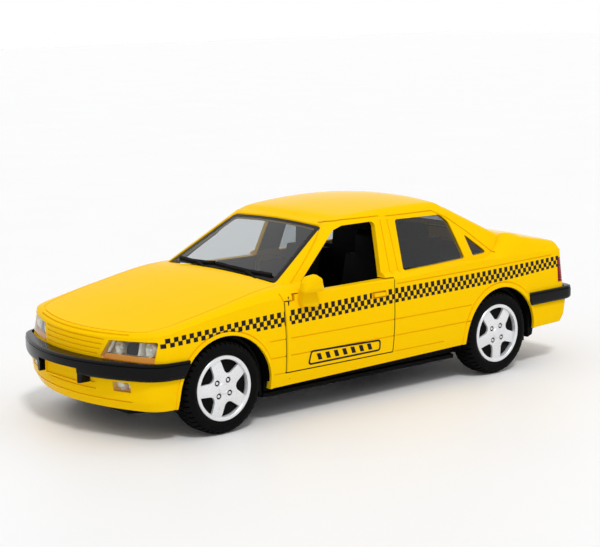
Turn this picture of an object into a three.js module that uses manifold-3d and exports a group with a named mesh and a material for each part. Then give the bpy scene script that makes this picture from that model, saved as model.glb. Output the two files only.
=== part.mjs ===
// Toy saloon car, about 1:24, with opening front doors, wheels on steel axles and a pull-back motor.
// Millimetres. +X is the front of the car, +Y its left side, +Z up. The origin lies on the ground,
// midway between the bumpers.
import * as THREE from "three";
import { mergeVertices } from "three/addons/utils/BufferGeometryUtils.js";
import Module from "manifold-3d";

const wasm = await Module();
wasm.setup();

// Overall sizes
const OVERALL_LENGTH = 184;
const BODY_WIDTH = 71.2;
const ROOF_Z = 58.3;
const FRONT_OVERHANG = 34.4;
const REAR_OVERHANG = 38.6;
const WHEELBASE = OVERALL_LENGTH - FRONT_OVERHANG - REAR_OVERHANG;
const WALL = 1.6;

// Clearances: fixed neighbours, turning shafts, the door's shut line and a pressed joint
const GAP = 0.3;
const RUNNING = 0.08;
const DOOR_GAP = 0.4;
const PRESS = 0.04;

// Stations along the car
const BUMPER_DEPTH = 3.4;
const REAR_BUMPER_DEPTH = 2.4;
const NOSE_X = OVERALL_LENGTH / 2 - BUMPER_DEPTH;
const TAIL_X = REAR_BUMPER_DEPTH - OVERALL_LENGTH / 2;
const FRONT_AXLE_X = OVERALL_LENGTH / 2 - FRONT_OVERHANG;
const REAR_AXLE_X = FRONT_AXLE_X - WHEELBASE;
const COWL_BEHIND_AXLE = 23;
const SCREEN_RUN = 25.4;
const REAR_SCREEN_RUN = 20.5;
const REAR_SCREEN_BEHIND_AXLE = 10.1;
const COWL_X = FRONT_AXLE_X - COWL_BEHIND_AXLE;
const HEADER_X = COWL_X - SCREEN_RUN;
const REAR_SCREEN_BASE_X = REAR_AXLE_X - REAR_SCREEN_BEHIND_AXLE;
const REAR_HEADER_X = REAR_SCREEN_BASE_X + REAR_SCREEN_RUN;

// Heights of the lower body
const SILL_FRONT_Z = 9.2;
const SILL_REAR_Z = 13;
const FRONT_STRIP_Z = [18.9, 23.6];
const REAR_STRIP_Z = [20.4, 25];
const BONNET_FRONT_Z = 30.4;
const COWL_Z = 40.6;
const BELT_Z = 37;
const BOOT_FRONT_Z = 44.8;
const BOOT_REAR_Z = 40.6;

// Heights of the cabin
const SCREEN_BASE_Z = 39.5;
const HEADER_Z = 55;
const ROOF_RAIL_Z = 54.3;
const REAR_SCREEN_BASE_Z = 44.5;
const CABIN_FOOT_Z = 33;
const BELT_HALF_WIDTH = BODY_WIDTH / 2 - 3.4;
const RAIL_HALF_WIDTH = BODY_WIDTH / 2 - 9.7;

// Wheels and axles
const TYRE_RADIUS = 13.55;
const TYRE_WIDTH = 9;
const TYRE_SIDES = 28;
const RIM_RADIUS = 9.5;
const RIM_WALL = 1.1;
const RIM_FACE_DEPTH = 2.2;
const WHEEL_FACE_Y = BODY_WIDTH / 2 - GAP;
const AXLE_RADIUS = 1;
const AXLE_SIDES = 16;
const HUB_RADIUS = 1.9;
const CAP_RADIUS = 1.6;
const SPOKES = 5;
const SPOKES_SUNK = 0.6;
const SPOKE_TIP_TURN = 0.21;
const SPOKE_ROOT_TURN = 0.4;
const SPOKE_ROOT_RADIUS = 4.9;
const FRONT_WHEEL_TURN = 0;
const REAR_WHEEL_TURN = -Math.PI / 2;
const LUG_TURN = 0.66;
const LUG_HOLES = 4;
const LUG_CIRCLE = 2.75;
const LUG_RADIUS = 0.6;
const AXLE_Z = TYRE_RADIUS * Math.cos(Math.PI / TYRE_SIDES);
const ARCH_CLEARANCE = 2.35;
const ARCH_RADIUS = TYRE_RADIUS + ARCH_CLEARANCE;
const ARCH_DROP = 0.9;
const HOUSING_CLEARANCE = 1.65;
const HOUSING_RADIUS = TYRE_RADIUS + HOUSING_CLEARANCE;
const HOUSING_WALL = 0.8;

// Doors
const HINGE_X = COWL_X - 1.2;
const KNUCKLE_RADIUS = 1.35;
const HINGE_Y = BODY_WIDTH / 2 - KNUCKLE_RADIUS - 0.1;
const HINGE_PIN_RADIUS = 0.5;
const DOOR_BOTTOM_Z = 14.5;
const SHUT_BEHIND_MIDDLE = 9;
const DOOR_RAKE = 1.3;
const DOOR_REAR_BOTTOM_X = (FRONT_AXLE_X + REAR_AXLE_X) / 2 - SHUT_BEHIND_MIDDLE;
const DOOR_REAR_TOP_X = DOOR_REAR_BOTTOM_X - DOOR_RAKE;
const DOOR_NOTCH = [2.3, 1.8];

// Chassis, screws and interior
const CHASSIS_THICKNESS = 1.2;
const TAIL_PLATE_Z = 13.6;
const SCREW_RADIUS = 1;
const SCREW_HEAD_RADIUS = 1.9;
const SCREW_HEAD_HEIGHT = 1;
const SCREW_LENGTH = 6;
const SCREW_SIDES = 10;
const POST_SIDES = 12;
const BOSS_HEIGHT = 1.8;
const POST_RADIUS = 2.6;
const POST_FRONT = [NOSE_X - 11.6, BODY_WIDTH / 2 - 22.6];
const POST_REAR = [TAIL_X + 12.6, BODY_WIDTH / 2 - 22.6];
const TUB_HALF_WIDTH = BODY_WIDTH / 2 - 5.1;
const TUB_FLOOR = 1.2;
const FIREWALL_X = FRONT_AXLE_X - HOUSING_RADIUS - 2.4;
const BENCH_REAR_X = REAR_AXLE_X + HOUSING_RADIUS + 0.8;
const SEAT_BEFORE_BENCH = 42.9;
const SEAT_X = BENCH_REAR_X + SEAT_BEFORE_BENCH;
const SEAT_Y = 15;
const SEAT_WIDTH = 18;

// Pull-back motor
const GEAR_MODULE = 0.5;
const AXLE_GEAR_TEETH = 12;
const BARREL_TEETH = 30;
const GEAR_WIDTH = 4;
const BACKLASH = 0.16;
const BARREL_BEHIND = 6;
const CASE_WALL = 0.9;
const CASE_HALF_WIDTH = 6.5;
const ARBOR_RADIUS = 1.1;
const SPRING_TURNS = 3;
const SPRING_THICKNESS = 0.45;
const ADDENDUM = 0.75 * GEAR_MODULE;
const TIP_CLEARANCE = 0.4;
const CASE_LOW_RADIUS = (GEAR_MODULE * AXLE_GEAR_TEETH) / 2 + ADDENDUM + TIP_CLEARANCE + CASE_WALL;
const CHASSIS_TOP = AXLE_Z - CASE_LOW_RADIUS - GAP;
const CHASSIS_Z = CHASSIS_TOP - CHASSIS_THICKNESS;

// Finishes
const YELLOW = { color: "#fdc60d", roughness: 0.22, metalness: 0 };
const BLACK = { color: "#17171a", roughness: 0.5, metalness: 0 };
const RUBBER = { color: "#161616", roughness: 0.8, metalness: 0 };
const SILVER = { color: "#d9dadd", roughness: 0.3, metalness: 0.4 };
const CHROME = { color: "#e6e6e6", roughness: 0.1, metalness: 1 };
const STEEL = { color: "#b9bcc0", roughness: 0.3, metalness: 1 };
const CLEAR = { color: "#dfe6ea", roughness: 0.05, metalness: 0 };
const RED = { color: "#7d0f14", roughness: 0.15, metalness: 0 };
const WHITE_GEAR = { color: "#e8e6df", roughness: 0.45, metalness: 0 };

const car = new THREE.Group();

// Solids from geometry, and back

function solid(geometry) {
  const bare = geometry.clone();
  bare.deleteAttribute("normal");
  bare.deleteAttribute("uv");
  const welded = mergeVertices(bare, 1e-4);
  return new wasm.Manifold(
    new wasm.Mesh({
      numProp: 3,
      vertProperties: new Float32Array(welded.attributes.position.array),
      triVerts: new Uint32Array(welded.index.array),
    }),
  );
}

function addPiece(name, shape, finish) {
  const mesh = shape.getMesh();
  const geometry = new THREE.BufferGeometry();
  geometry.setAttribute("position", new THREE.BufferAttribute(new Float32Array(mesh.vertProperties), 3));
  geometry.setIndex(new THREE.BufferAttribute(new Uint32Array(mesh.triVerts), 1));
  const piece = new THREE.Mesh(geometry, new THREE.MeshStandardMaterial(finish));
  piece.name = name;
  car.add(piece);
}

// The same solid with every corner moved; a move that mirrors it also turns its faces round
function remade(shape, move, mirrors) {
  const mesh = shape.getMesh();
  const positions = new Float32Array(mesh.vertProperties);
  for (let i = 0; i < positions.length; i += 3) positions.set(move(...positions.slice(i, i + 3)), i);
  const faces = new Uint32Array(mesh.triVerts);
  if (mirrors) faces.reverse();
  return new wasm.Manifold(new wasm.Mesh({ numProp: 3, vertProperties: positions, triVerts: faces }));
}

function mirrored(shape) {
  return remade(shape, (x, y, z) => [x, -y, z], true);
}

function shifted(shape, by) {
  return remade(shape, (x, y, z) => [x + by[0], y + by[1], z + by[2]], false);
}

function addPair(name, leftShape, finish) {
  addPiece(`${name}_left`, leftShape, finish);
  addPiece(`${name}_right`, mirrored(leftShape), finish);
}

function block(x, y, z) {
  const geometry = new THREE.BoxGeometry(x[1] - x[0], y[1] - y[0], z[1] - z[0]);
  geometry.translate((x[0] + x[1]) / 2, (y[0] + y[1]) / 2, (z[0] + z[1]) / 2);
  return solid(geometry);
}

// An outline drawn in the plane across an axis, drawn out along that axis from start to end:
// "x" takes outlines in Y and Z, "y" in X and Z, "z" in X and Y.
const BASES = {
  x: [new THREE.Vector3(0, 1, 0), new THREE.Vector3(0, 0, 1), new THREE.Vector3(1, 0, 0)],
  y: [new THREE.Vector3(1, 0, 0), new THREE.Vector3(0, 0, 1), new THREE.Vector3(0, -1, 0)],
  z: [new THREE.Vector3(1, 0, 0), new THREE.Vector3(0, 1, 0), new THREE.Vector3(0, 0, 1)],
};

function drawnOut(shape, axis, start, end, curveSegments = 8) {
  const geometry = new THREE.ExtrudeGeometry(shape, {
    depth: end - start,
    bevelEnabled: false,
    curveSegments,
  });
  geometry.applyMatrix4(new THREE.Matrix4().makeBasis(...BASES[axis]));
  const shift = axis === "y" ? end : start;
  geometry.translate(axis === "x" ? shift : 0, axis === "y" ? shift : 0, axis === "z" ? shift : 0);
  return solid(geometry);
}

function outline(points) {
  return new THREE.Shape(points.map(([u, v]) => new THREE.Vector2(u, v)));
}

function prism(points, axis, start, end) {
  return drawnOut(outline(points), axis, start, end);
}

function rod(radius, axis, at, start, end, sides = 20) {
  const shape = new THREE.Shape();
  for (let side = 0; side < sides; side += 1) {
    const turn = ((side + 0.5) / sides) * 2 * Math.PI;
    const u = at[0] + radius * Math.cos(turn);
    const v = at[1] + radius * Math.sin(turn);
    if (side === 0) shape.moveTo(u, v);
    else shape.lineTo(u, v);
  }
  return drawnOut(shape, axis, start, end);
}

// Smooth curve and straight-line interpolation through [position, value] points

function sorted(points) {
  return [...points].sort((a, b) => a[0] - b[0]);
}

function line(points) {
  const p = sorted(points);
  return (x) => {
    if (x <= p[0][0]) return p[0][1];
    const next = p.findIndex((point) => point[0] >= x);
    if (next < 0) return p[p.length - 1][1];
    const [x0, y0] = p[next - 1];
    const [x1, y1] = p[next];
    return y0 + ((y1 - y0) * (x - x0)) / (x1 - x0);
  };
}

function curve(points) {
  const p = sorted(points);
  const slope = (i) => {
    const a = p[Math.max(i - 1, 0)];
    const b = p[Math.min(i + 1, p.length - 1)];
    return (b[1] - a[1]) / (b[0] - a[0]);
  };
  return (x) => {
    if (x <= p[0][0]) return p[0][1];
    const next = p.findIndex((point) => point[0] >= x);
    if (next < 0) return p[p.length - 1][1];
    const [x0, y0] = p[next - 1];
    const [x1, y1] = p[next];
    const span = x1 - x0;
    const t = (x - x0) / span;
    const bend = span * t * (1 - t) * (slope(next - 1) * (1 - t) - slope(next) * t);
    return y0 + (y1 - y0) * t * t * (3 - 2 * t) + bend;
  };
}

// Domed bodies. A form gives the nose, tail and half width of its plan at each height, the height of its
// rim along the car, the crowned top above it, and how far in from the rim the rounding reaches.

const SKIRT_STEP = 1.4;

const lowerForm = {
  front: line([
    [SILL_FRONT_Z, NOSE_X - 2],
    [SILL_FRONT_Z + 3, NOSE_X - 0.6],
    [FRONT_STRIP_Z[0] - GAP, NOSE_X],
    [FRONT_STRIP_Z[0], NOSE_X - SKIRT_STEP],
    [FRONT_STRIP_Z[1], NOSE_X - SKIRT_STEP],
    [BONNET_FRONT_Z, NOSE_X - SKIRT_STEP - 1.2],
  ]),
  rear: line([
    [SILL_REAR_Z, TAIL_X + 1.8],
    [SILL_REAR_Z + 2, TAIL_X + 0.6],
    [REAR_STRIP_Z[0] - GAP, TAIL_X],
    [REAR_STRIP_Z[0], TAIL_X + SKIRT_STEP],
    [REAR_STRIP_Z[1], TAIL_X + SKIRT_STEP],
    [BELT_Z, TAIL_X + SKIRT_STEP + 0.8],
  ]),
  halfWidth: curve([
    [SILL_FRONT_Z, BODY_WIDTH / 2 - 1.5],
    [DOOR_BOTTOM_Z, BODY_WIDTH / 2 - 0.4],
    [FRONT_STRIP_Z[1], BODY_WIDTH / 2],
    [BELT_Z, BODY_WIDTH / 2 - 0.8],
  ]),
  rim: curve([
    [NOSE_X - SKIRT_STEP - 1, BONNET_FRONT_Z - 1.2],
    [FRONT_AXLE_X, BONNET_FRONT_Z + 4],
    [COWL_X, BELT_Z - 0.3],
    [DOOR_REAR_TOP_X, BELT_Z - 0.4],
    [REAR_HEADER_X, BELT_Z + 0.8],
    [TAIL_X + 3, BELT_Z + 0.4],
  ]),
  spine: curve([
    [NOSE_X - SKIRT_STEP - 1, BONNET_FRONT_Z],
    [NOSE_X - 12, BONNET_FRONT_Z + 2.2],
    [FRONT_AXLE_X, BONNET_FRONT_Z + 6.4],
    [COWL_X, COWL_Z],
    [DOOR_REAR_TOP_X, COWL_Z - 0.2],
    [REAR_HEADER_X, COWL_Z - 1],
    [REAR_SCREEN_BASE_X + 11, COWL_Z - 1],
    [REAR_SCREEN_BASE_X + 7, COWL_Z + 0.8],
    [REAR_SCREEN_BASE_X + 2.6, BOOT_FRONT_Z],
    [TAIL_X + 14, BOOT_FRONT_Z - 2.1],
    [TAIL_X + 3, BOOT_REAR_Z],
  ]),
  crown: curve([
    [NOSE_X, 1],
    [COWL_X, 1.6],
    [REAR_HEADER_X, 2.2],
    [REAR_SCREEN_BASE_X, 1.2],
    [TAIL_X, 1.2],
  ]),
  bow: { front: 8.2, rear: 1.2 },
  corner: { front: 4.5, rear: 2.6 },
  reach: { front: 1.8, side: 3.2, rear: 3 },
  tuck: 1.6,
  lean: { front: 1, side: 1, rear: 1 },
  divisions: { front: 6, corner: 3, side: 18, rear: 4 },
  innerDivisions: { front: 4, corner: 2, side: 9, rear: 3 },
  levels: [FRONT_STRIP_Z[0] - GAP, FRONT_STRIP_Z[0], REAR_STRIP_Z[0], REAR_STRIP_Z[1]],
  upperRings: 2,
};

const SCREEN_SLOPE = (COWL_X - HEADER_X) / (HEADER_Z - SCREEN_BASE_Z);
const REAR_SCREEN_SLOPE = (REAR_HEADER_X - REAR_SCREEN_BASE_X) / (HEADER_Z - REAR_SCREEN_BASE_Z);
const TUMBLEHOME = (BELT_HALF_WIDTH - RAIL_HALF_WIDTH) / (ROOF_RAIL_Z - BELT_Z);

const cabinForm = {
  front: (z) => COWL_X - SCREEN_SLOPE * (z - SCREEN_BASE_Z),
  rear: (z) => REAR_SCREEN_BASE_X + REAR_SCREEN_SLOPE * (z - REAR_SCREEN_BASE_Z),
  halfWidth: (z) => BELT_HALF_WIDTH - TUMBLEHOME * (z - BELT_Z),
  rim: curve([
    [HEADER_X, HEADER_Z],
    [HEADER_X - 5, ROOF_RAIL_Z],
    [REAR_HEADER_X + 5, ROOF_RAIL_Z],
    [REAR_HEADER_X, HEADER_Z],
  ]),
  spine: curve([
    [HEADER_X, ROOF_Z - 2.3],
    [HEADER_X - 9, ROOF_Z - 1],
    [(HEADER_X + REAR_HEADER_X) / 2, ROOF_Z],
    [REAR_HEADER_X + 10, ROOF_Z - 0.2],
    [REAR_HEADER_X, ROOF_Z - 1.3],
  ]),
  crown: () => 1.4,
  bow: { front: 1.6, rear: 2.4 },
  corner: { front: 5, rear: 3.4 },
  reach: { front: 4.5, side: 3, rear: 5 },
  tuck: 1.4,
  lean: {
    front: Math.hypot(1, SCREEN_SLOPE),
    side: Math.hypot(1, TUMBLEHOME),
    rear: Math.hypot(1, REAR_SCREEN_SLOPE),
  },
  divisions: { front: 5, corner: 3, side: 8, rear: 5 },
  innerDivisions: { front: 3, corner: 2, side: 5, rear: 3 },
  levels: [],
  upperRings: 2,
};

const SIDE_RISE = 0.3;

function divisionsOf(form, inset) {
  return inset > 0 ? form.innerDivisions : form.divisions;
}

// Left half of the plan outline at one height, from the middle of the nose to the middle of the tail
function halfOutline(form, z, inset) {
  const divisions = divisionsOf(form, inset);
  const nose = form.front(z) - inset * form.lean.front;
  const tail = form.rear(z) + inset * form.lean.rear;
  const side = form.halfWidth(z) - inset * form.lean.side;
  const turn = side - form.tuck;
  const end = (tip, bow, corner, way) => {
    const y = turn - corner;
    const x = tip - way * bow * (y / turn) ** 2;
    const lead = x - (way * 2 * bow * y * corner) / turn ** 2;
    return { tip, y, x, lead, next: lead - way * corner };
  };
  const front = end(nose, form.bow.front, form.corner.front, 1);
  const rear = end(tail, form.bow.rear, form.corner.rear, -1);
  const sideStart = turn + SIDE_RISE;
  const bulge = side + (side - sideStart) / 3;
  const handle = (corner) => ((bulge - sideStart) * corner) / SIDE_RISE;
  const point = (x, y) => new THREE.Vector2(x, y);
  const pieces = [
    [
      new THREE.QuadraticBezierCurve(
        point(front.tip, 0),
        point(front.tip, front.y / 2),
        point(front.x, front.y),
      ),
      divisions.front,
    ],
    [
      new THREE.QuadraticBezierCurve(
        point(front.x, front.y),
        point(front.lead, turn),
        point(front.next, sideStart),
      ),
      divisions.corner,
    ],
    [
      new THREE.CubicBezierCurve(
        point(front.next, sideStart),
        point(front.next - Math.min(handle(form.corner.front), (front.next - rear.next) / 2), bulge),
        point(rear.next + Math.min(handle(form.corner.rear), (front.next - rear.next) / 2), bulge),
        point(rear.next, sideStart),
      ),
      divisions.side,
    ],
    [
      new THREE.QuadraticBezierCurve(
        point(rear.next, sideStart),
        point(rear.lead, turn),
        point(rear.x, rear.y),
      ),
      divisions.corner,
    ],
    [
      new THREE.QuadraticBezierCurve(point(rear.x, rear.y), point(rear.tip, rear.y / 2), point(rear.tip, 0)),
      divisions.rear,
    ],
  ];
  const points = pieces.flatMap(([piece, count]) => piece.getPoints(count).slice(0, -1));
  points.push(point(rear.tip, 0));
  return points;
}

const SPINE_SHARE = 0.97;
const TOP_RINGS = [0.025, 0.07, 0.25, 0.6, 1];
const INNER_TOP_RINGS = [0.06, 0.4, 1];

function dome(form, inset, bottom) {
  const divisions = divisionsOf(form, inset);
  const rimAt = (x) => form.rim(x) - inset;
  let rim = halfOutline(form, rimAt(0), inset);
  rim = rim.map((p, i) => halfOutline(form, rimAt(p.x), inset)[i]);
  const last = rim.length - 1;
  const sideY = line(rim.slice(divisions.front, last - divisions.rear + 1).map((p) => [p.x, p.y]));
  const frontX = line(rim.slice(0, divisions.front + 2).map((p) => [p.y, p.x]));
  const rearX = line(rim.slice(last - divisions.rear - 1).map((p) => [p.y, p.x]));
  const width = form.halfWidth(rimAt(0));
  const top = (x, y) => {
    const crowned = form.spine(x) - form.crown(x) * (y / width) ** 2 - inset;
    const fall = Math.max(
      0,
      1 - (frontX(y) - x) / form.reach.front,
      1 - (x - rearX(y)) / form.reach.rear,
      1 - (sideY(x) - y) / form.reach.side,
    );
    return crowned - (crowned - rimAt(x)) * Math.min(fall, 1) ** 2;
  };
  const halves = [];
  const ringAt = (height) =>
    rim.map((p, i) => {
      const z = height(p.x);
      const q = halfOutline(form, z, inset)[i];
      return [q.x, q.y, z];
    });
  halves.push(ringAt(bottom));
  const levels = inset > 0 ? [] : form.levels;
  levels.forEach((level) => halves.push(ringAt((x) => Math.max(level, bottom(x) + 0.5))));
  const foot = levels.length ? levels[levels.length - 1] : null;
  for (let ring = 1; ring <= form.upperRings; ring += 1) {
    const share = ring / form.upperRings;
    halves.push(ringAt((x) => (foot ?? bottom(x)) * (1 - share) + rimAt(x) * share));
  }
  const middle = (rim[0].x + rim[last].x) / 2;
  (inset > 0 ? INNER_TOP_RINGS : TOP_RINGS).forEach((share) => {
    halves.push(
      rim.map((p) => {
        const spineX = middle + (p.x - middle) * SPINE_SHARE;
        const x = p.x + (spineX - p.x) * share;
        const y = p.y * (1 - share);
        return [x, y, top(x, y)];
      }),
    );
  });
  const rings = halves.map((half) => [
    ...half,
    ...half
      .slice(1, -1)
      .reverse()
      .map(([x, y, z]) => [x, -y, z]),
  ]);
  const around = rings[0].length;
  const positions = rings.flat(2);
  const faces = [];
  for (let ring = 0; ring + 1 < rings.length; ring += 1) {
    for (let i = 0; i < around; i += 1) {
      const a = ring * around + i;
      const b = ring * around + ((i + 1) % around);
      faces.push(a, b, b + around, a, b + around, a + around);
    }
  }
  const centre = positions.length / 3;
  positions.push(middle, 0, bottom(middle));
  for (let i = 0; i < around; i += 1) faces.push(centre, (i + 1) % around, i);
  const geometry = new THREE.BufferGeometry();
  geometry.setAttribute("position", new THREE.BufferAttribute(new Float32Array(positions), 3));
  geometry.setIndex(faces);
  return solid(geometry);
}

const sillZ = line([
  [TAIL_X, SILL_REAR_Z],
  [NOSE_X, SILL_FRONT_Z],
]);
const belowSill = () => 0;

function lowerBody(inset) {
  return dome(lowerForm, inset, inset > 0 ? belowSill : sillZ);
}

function cabin(inset) {
  return dome(cabinForm, inset, () => CABIN_FOOT_Z - inset);
}

const lowerOuter = lowerBody(0);
const cabinOuter = cabin(0);
const outer = lowerOuter.add(cabinOuter);
const inner = lowerBody(WALL).add(cabin(WALL));

// Windows and door openings, drawn in side view (X, Z) or plan view (X, Y)

const FRONT_WINDOW = [
  [HINGE_X - 5.4, BELT_Z + DOOR_GAP],
  [HEADER_X - 1, ROOF_RAIL_Z - 1.7],
  [HEADER_X - 4.7, ROOF_RAIL_Z - 0.6],
  [DOOR_REAR_TOP_X - 0.1, ROOF_RAIL_Z - 0.4],
  [DOOR_REAR_TOP_X + 2.8, BELT_Z + DOOR_GAP],
];
const REAR_WINDOW = [
  [DOOR_REAR_TOP_X - 6.7, BELT_Z + 1],
  [DOOR_REAR_TOP_X - 8.3, ROOF_RAIL_Z - 0.7],
  [REAR_HEADER_X + 6.7, ROOF_RAIL_Z - 1.1],
  [REAR_HEADER_X + 3.8, ROOF_RAIL_Z - 3.5],
  [REAR_HEADER_X + 0.8, BELT_Z + 2],
];
const QUARTER_LIGHT = [
  [REAR_HEADER_X - 3, BELT_Z + 2.3],
  [REAR_HEADER_X - 1.4, BELT_Z + 9.4],
  [REAR_HEADER_X - 10, BELT_Z + 2.6],
];
const SCREEN_CORNERS = { baseInset: 4.6, topInset: 4.1, base: 1.6, top: 0.6 };
const REAR_SCREEN_CORNERS = { baseInset: 8.1, topInset: 5.4, base: 4, top: 1.6 };
const SIDE_OUTSIDE = BODY_WIDTH;
const SIDE_INSIDE = RAIL_HALF_WIDTH - 9;

// Same outline with every edge moved outwards by the given distance
function grown(points, distance) {
  const shape = points.map(([u, v]) => new THREE.Vector2(u, v));
  const way = THREE.ShapeUtils.area(shape) > 0 ? 1 : -1;
  const count = shape.length;
  return shape.map((p, i) => {
    const before = p.clone().sub(shape[(i + count - 1) % count]).normalize();
    const after = shape[(i + 1) % count].clone().sub(p).normalize();
    const normalBefore = new THREE.Vector2(before.y, -before.x).multiplyScalar(way);
    const normalAfter = new THREE.Vector2(after.y, -after.x).multiplyScalar(way);
    const bisector = normalBefore.clone().add(normalAfter).normalize();
    const reach = distance / bisector.dot(normalAfter);
    return [p.x + bisector.x * reach, p.y + bisector.y * reach];
  });
}

function sideCut(points) {
  return prism(points, "y", SIDE_INSIDE, SIDE_OUTSIDE);
}

function screenOutline(baseX, topX, baseHalf, topHalf) {
  return [
    [baseX, -baseHalf],
    [baseX, baseHalf],
    [topX, topHalf],
    [topX, -topHalf],
  ];
}

const WINDSCREEN = screenOutline(
  COWL_X - SCREEN_CORNERS.base,
  HEADER_X + SCREEN_CORNERS.top,
  BELT_HALF_WIDTH - SCREEN_CORNERS.baseInset,
  RAIL_HALF_WIDTH - SCREEN_CORNERS.topInset,
);
const REAR_SCREEN = screenOutline(
  REAR_SCREEN_BASE_X + REAR_SCREEN_CORNERS.base,
  REAR_HEADER_X - REAR_SCREEN_CORNERS.top,
  BELT_HALF_WIDTH - REAR_SCREEN_CORNERS.baseInset,
  RAIL_HALF_WIDTH - REAR_SCREEN_CORNERS.topInset,
);

function screenCut(points) {
  return prism(points, "z", BELT_Z, ROOF_Z + 5);
}

const DOOR_FRONT_EDGE = HINGE_X + KNUCKLE_RADIUS + DOOR_GAP;
const NOTCH_Z = BELT_Z - DOOR_NOTCH[1];
const DOOR_PANEL = [
  [HINGE_X, DOOR_BOTTOM_Z],
  [DOOR_REAR_BOTTOM_X, DOOR_BOTTOM_Z],
  [DOOR_REAR_TOP_X, BELT_Z],
  [HINGE_X - DOOR_NOTCH[0], BELT_Z],
  [HINGE_X - DOOR_NOTCH[0], NOTCH_Z],
  [HINGE_X, NOTCH_Z],
];
const LUG_FRONT_X = HINGE_X - KNUCKLE_RADIUS;
const DOORWAY = [
  [DOOR_FRONT_EDGE, DOOR_BOTTOM_Z - DOOR_GAP],
  [DOOR_REAR_BOTTOM_X - DOOR_GAP, DOOR_BOTTOM_Z - DOOR_GAP],
  [DOOR_REAR_TOP_X - DOOR_GAP, BELT_Z + DOOR_GAP],
  [LUG_FRONT_X, BELT_Z + DOOR_GAP],
  [LUG_FRONT_X, NOTCH_Z + DOOR_GAP],
  [DOOR_FRONT_EDGE, NOTCH_Z + DOOR_GAP],
];

// Lamp openings, drawn in front or rear view (Y, Z)

const HEADLAMP = [
  [BODY_WIDTH / 2 - 21.4, FRONT_STRIP_Z[1] + 0.3],
  [BODY_WIDTH / 2 - 3.4, FRONT_STRIP_Z[1] + 0.3],
  [BODY_WIDTH / 2 - 3.2, BONNET_FRONT_Z - 1.1],
  [BODY_WIDTH / 2 - 18.5, BONNET_FRONT_Z - 1.7],
];
const FOG_LAMP = [
  [BODY_WIDTH / 2 - 15.5, FRONT_STRIP_Z[0] - 4.1],
  [BODY_WIDTH / 2 - 9.5, FRONT_STRIP_Z[0] - 4.1],
  [BODY_WIDTH / 2 - 9.5, FRONT_STRIP_Z[0] - 1.3],
  [BODY_WIDTH / 2 - 15.5, FRONT_STRIP_Z[0] - 1.3],
];
const TAIL_LAMP = [
  [BODY_WIDTH / 2 - 19.6, REAR_STRIP_Z[1] + 1.6],
  [BODY_WIDTH / 2 + 2, REAR_STRIP_Z[1] + 1.6],
  [BODY_WIDTH / 2 + 2, BELT_Z - 2.2],
  [BODY_WIDTH / 2 - 19.6, BELT_Z - 2.2],
];
const LAMP_BACK_X = FRONT_AXLE_X + HOUSING_RADIUS + 1.5;
const TAIL_LAMP_FRONT_X = TAIL_X + 6.5;

function frontCut(points) {
  return prism(points, "x", LAMP_BACK_X, OVERALL_LENGTH / 2 + 5);
}

function tailCut(points, frontX) {
  return prism(points, "x", -OVERALL_LENGTH / 2 - 5, frontX);
}

// Body shell

function bothSides(shape) {
  return shape.add(mirrored(shape));
}

function wheelArch(axleX) {
  const arch = new THREE.Shape();
  arch.moveTo(axleX - ARCH_RADIUS - 1, 0);
  arch.lineTo(axleX + ARCH_RADIUS + 1, 0);
  arch.lineTo(axleX + ARCH_RADIUS, AXLE_Z - ARCH_DROP);
  arch.absarc(axleX, AXLE_Z - ARCH_DROP, ARCH_RADIUS, 0, Math.PI, false);
  return drawnOut(arch, "y", RAIL_HALF_WIDTH, SIDE_OUTSIDE, 9);
}

function screwPost(at, bottom, top) {
  const bore = rod(SCREW_RADIUS + PRESS, "z", at, bottom - 1, bottom + SCREW_LENGTH, SCREW_SIDES);
  return rod(POST_RADIUS, "z", at, bottom, top, POST_SIDES).subtract(bore);
}

const POST_FRONT_TOP = lowerForm.spine(POST_FRONT[0]) - WALL;
const POST_REAR_TOP = lowerForm.spine(POST_REAR[0]) - WALL;
const LUG_DEPTH = 3.2;

const upperLug = block(
  [LUG_FRONT_X, DOOR_FRONT_EDGE + WALL],
  [HINGE_Y - LUG_DEPTH, BODY_WIDTH / 2],
  [NOTCH_Z + DOOR_GAP, BELT_Z + 1],
).intersect(outer);
const lowerLug = block(
  [LUG_FRONT_X, DOOR_FRONT_EDGE],
  [HINGE_Y - LUG_DEPTH, BODY_WIDTH / 2],
  [DOOR_BOTTOM_Z - DOOR_GAP - 2.4, DOOR_BOTTOM_Z - DOOR_GAP],
).intersect(outer);
const pinHole = rod(HINGE_PIN_RADIUS + PRESS, "z", [HINGE_X, HINGE_Y], DOOR_BOTTOM_Z - 2.3, BELT_Z - 0.2, 12);

const doorwayCut = sideCut(DOORWAY).add(sideCut(FRONT_WINDOW));
let shell = outer.subtract(inner);
shell = shell.subtract(bothSides(doorwayCut));
shell = shell.add(bothSides(upperLug)).add(bothSides(lowerLug));
shell = shell.subtract(bothSides(pinHole));
shell = shell.subtract(bothSides(sideCut(REAR_WINDOW)));
shell = shell.subtract(bothSides(sideCut(QUARTER_LIGHT)));
shell = shell.subtract(screenCut(WINDSCREEN));
shell = shell.subtract(screenCut(REAR_SCREEN));
shell = shell.subtract(bothSides(wheelArch(FRONT_AXLE_X)));
shell = shell.subtract(bothSides(wheelArch(REAR_AXLE_X - 1.6)));
shell = shell.subtract(bothSides(frontCut(HEADLAMP)));
shell = shell.subtract(bothSides(frontCut(FOG_LAMP)));
shell = shell.subtract(bothSides(tailCut(TAIL_LAMP, TAIL_LAMP_FRONT_X)));
const FRONT_BOSS_TOP = CHASSIS_TOP + BOSS_HEIGHT;
const REAR_BOSS_TOP = TAIL_PLATE_Z + CHASSIS_THICKNESS + BOSS_HEIGHT;
const frontPost = screwPost(POST_FRONT, FRONT_BOSS_TOP + GAP, POST_FRONT_TOP + 0.6);
const rearPost = screwPost(POST_REAR, REAR_BOSS_TOP + GAP, POST_REAR_TOP + 0.4);
shell = shell.add(bothSides(frontPost)).add(bothSides(rearPost));
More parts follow.
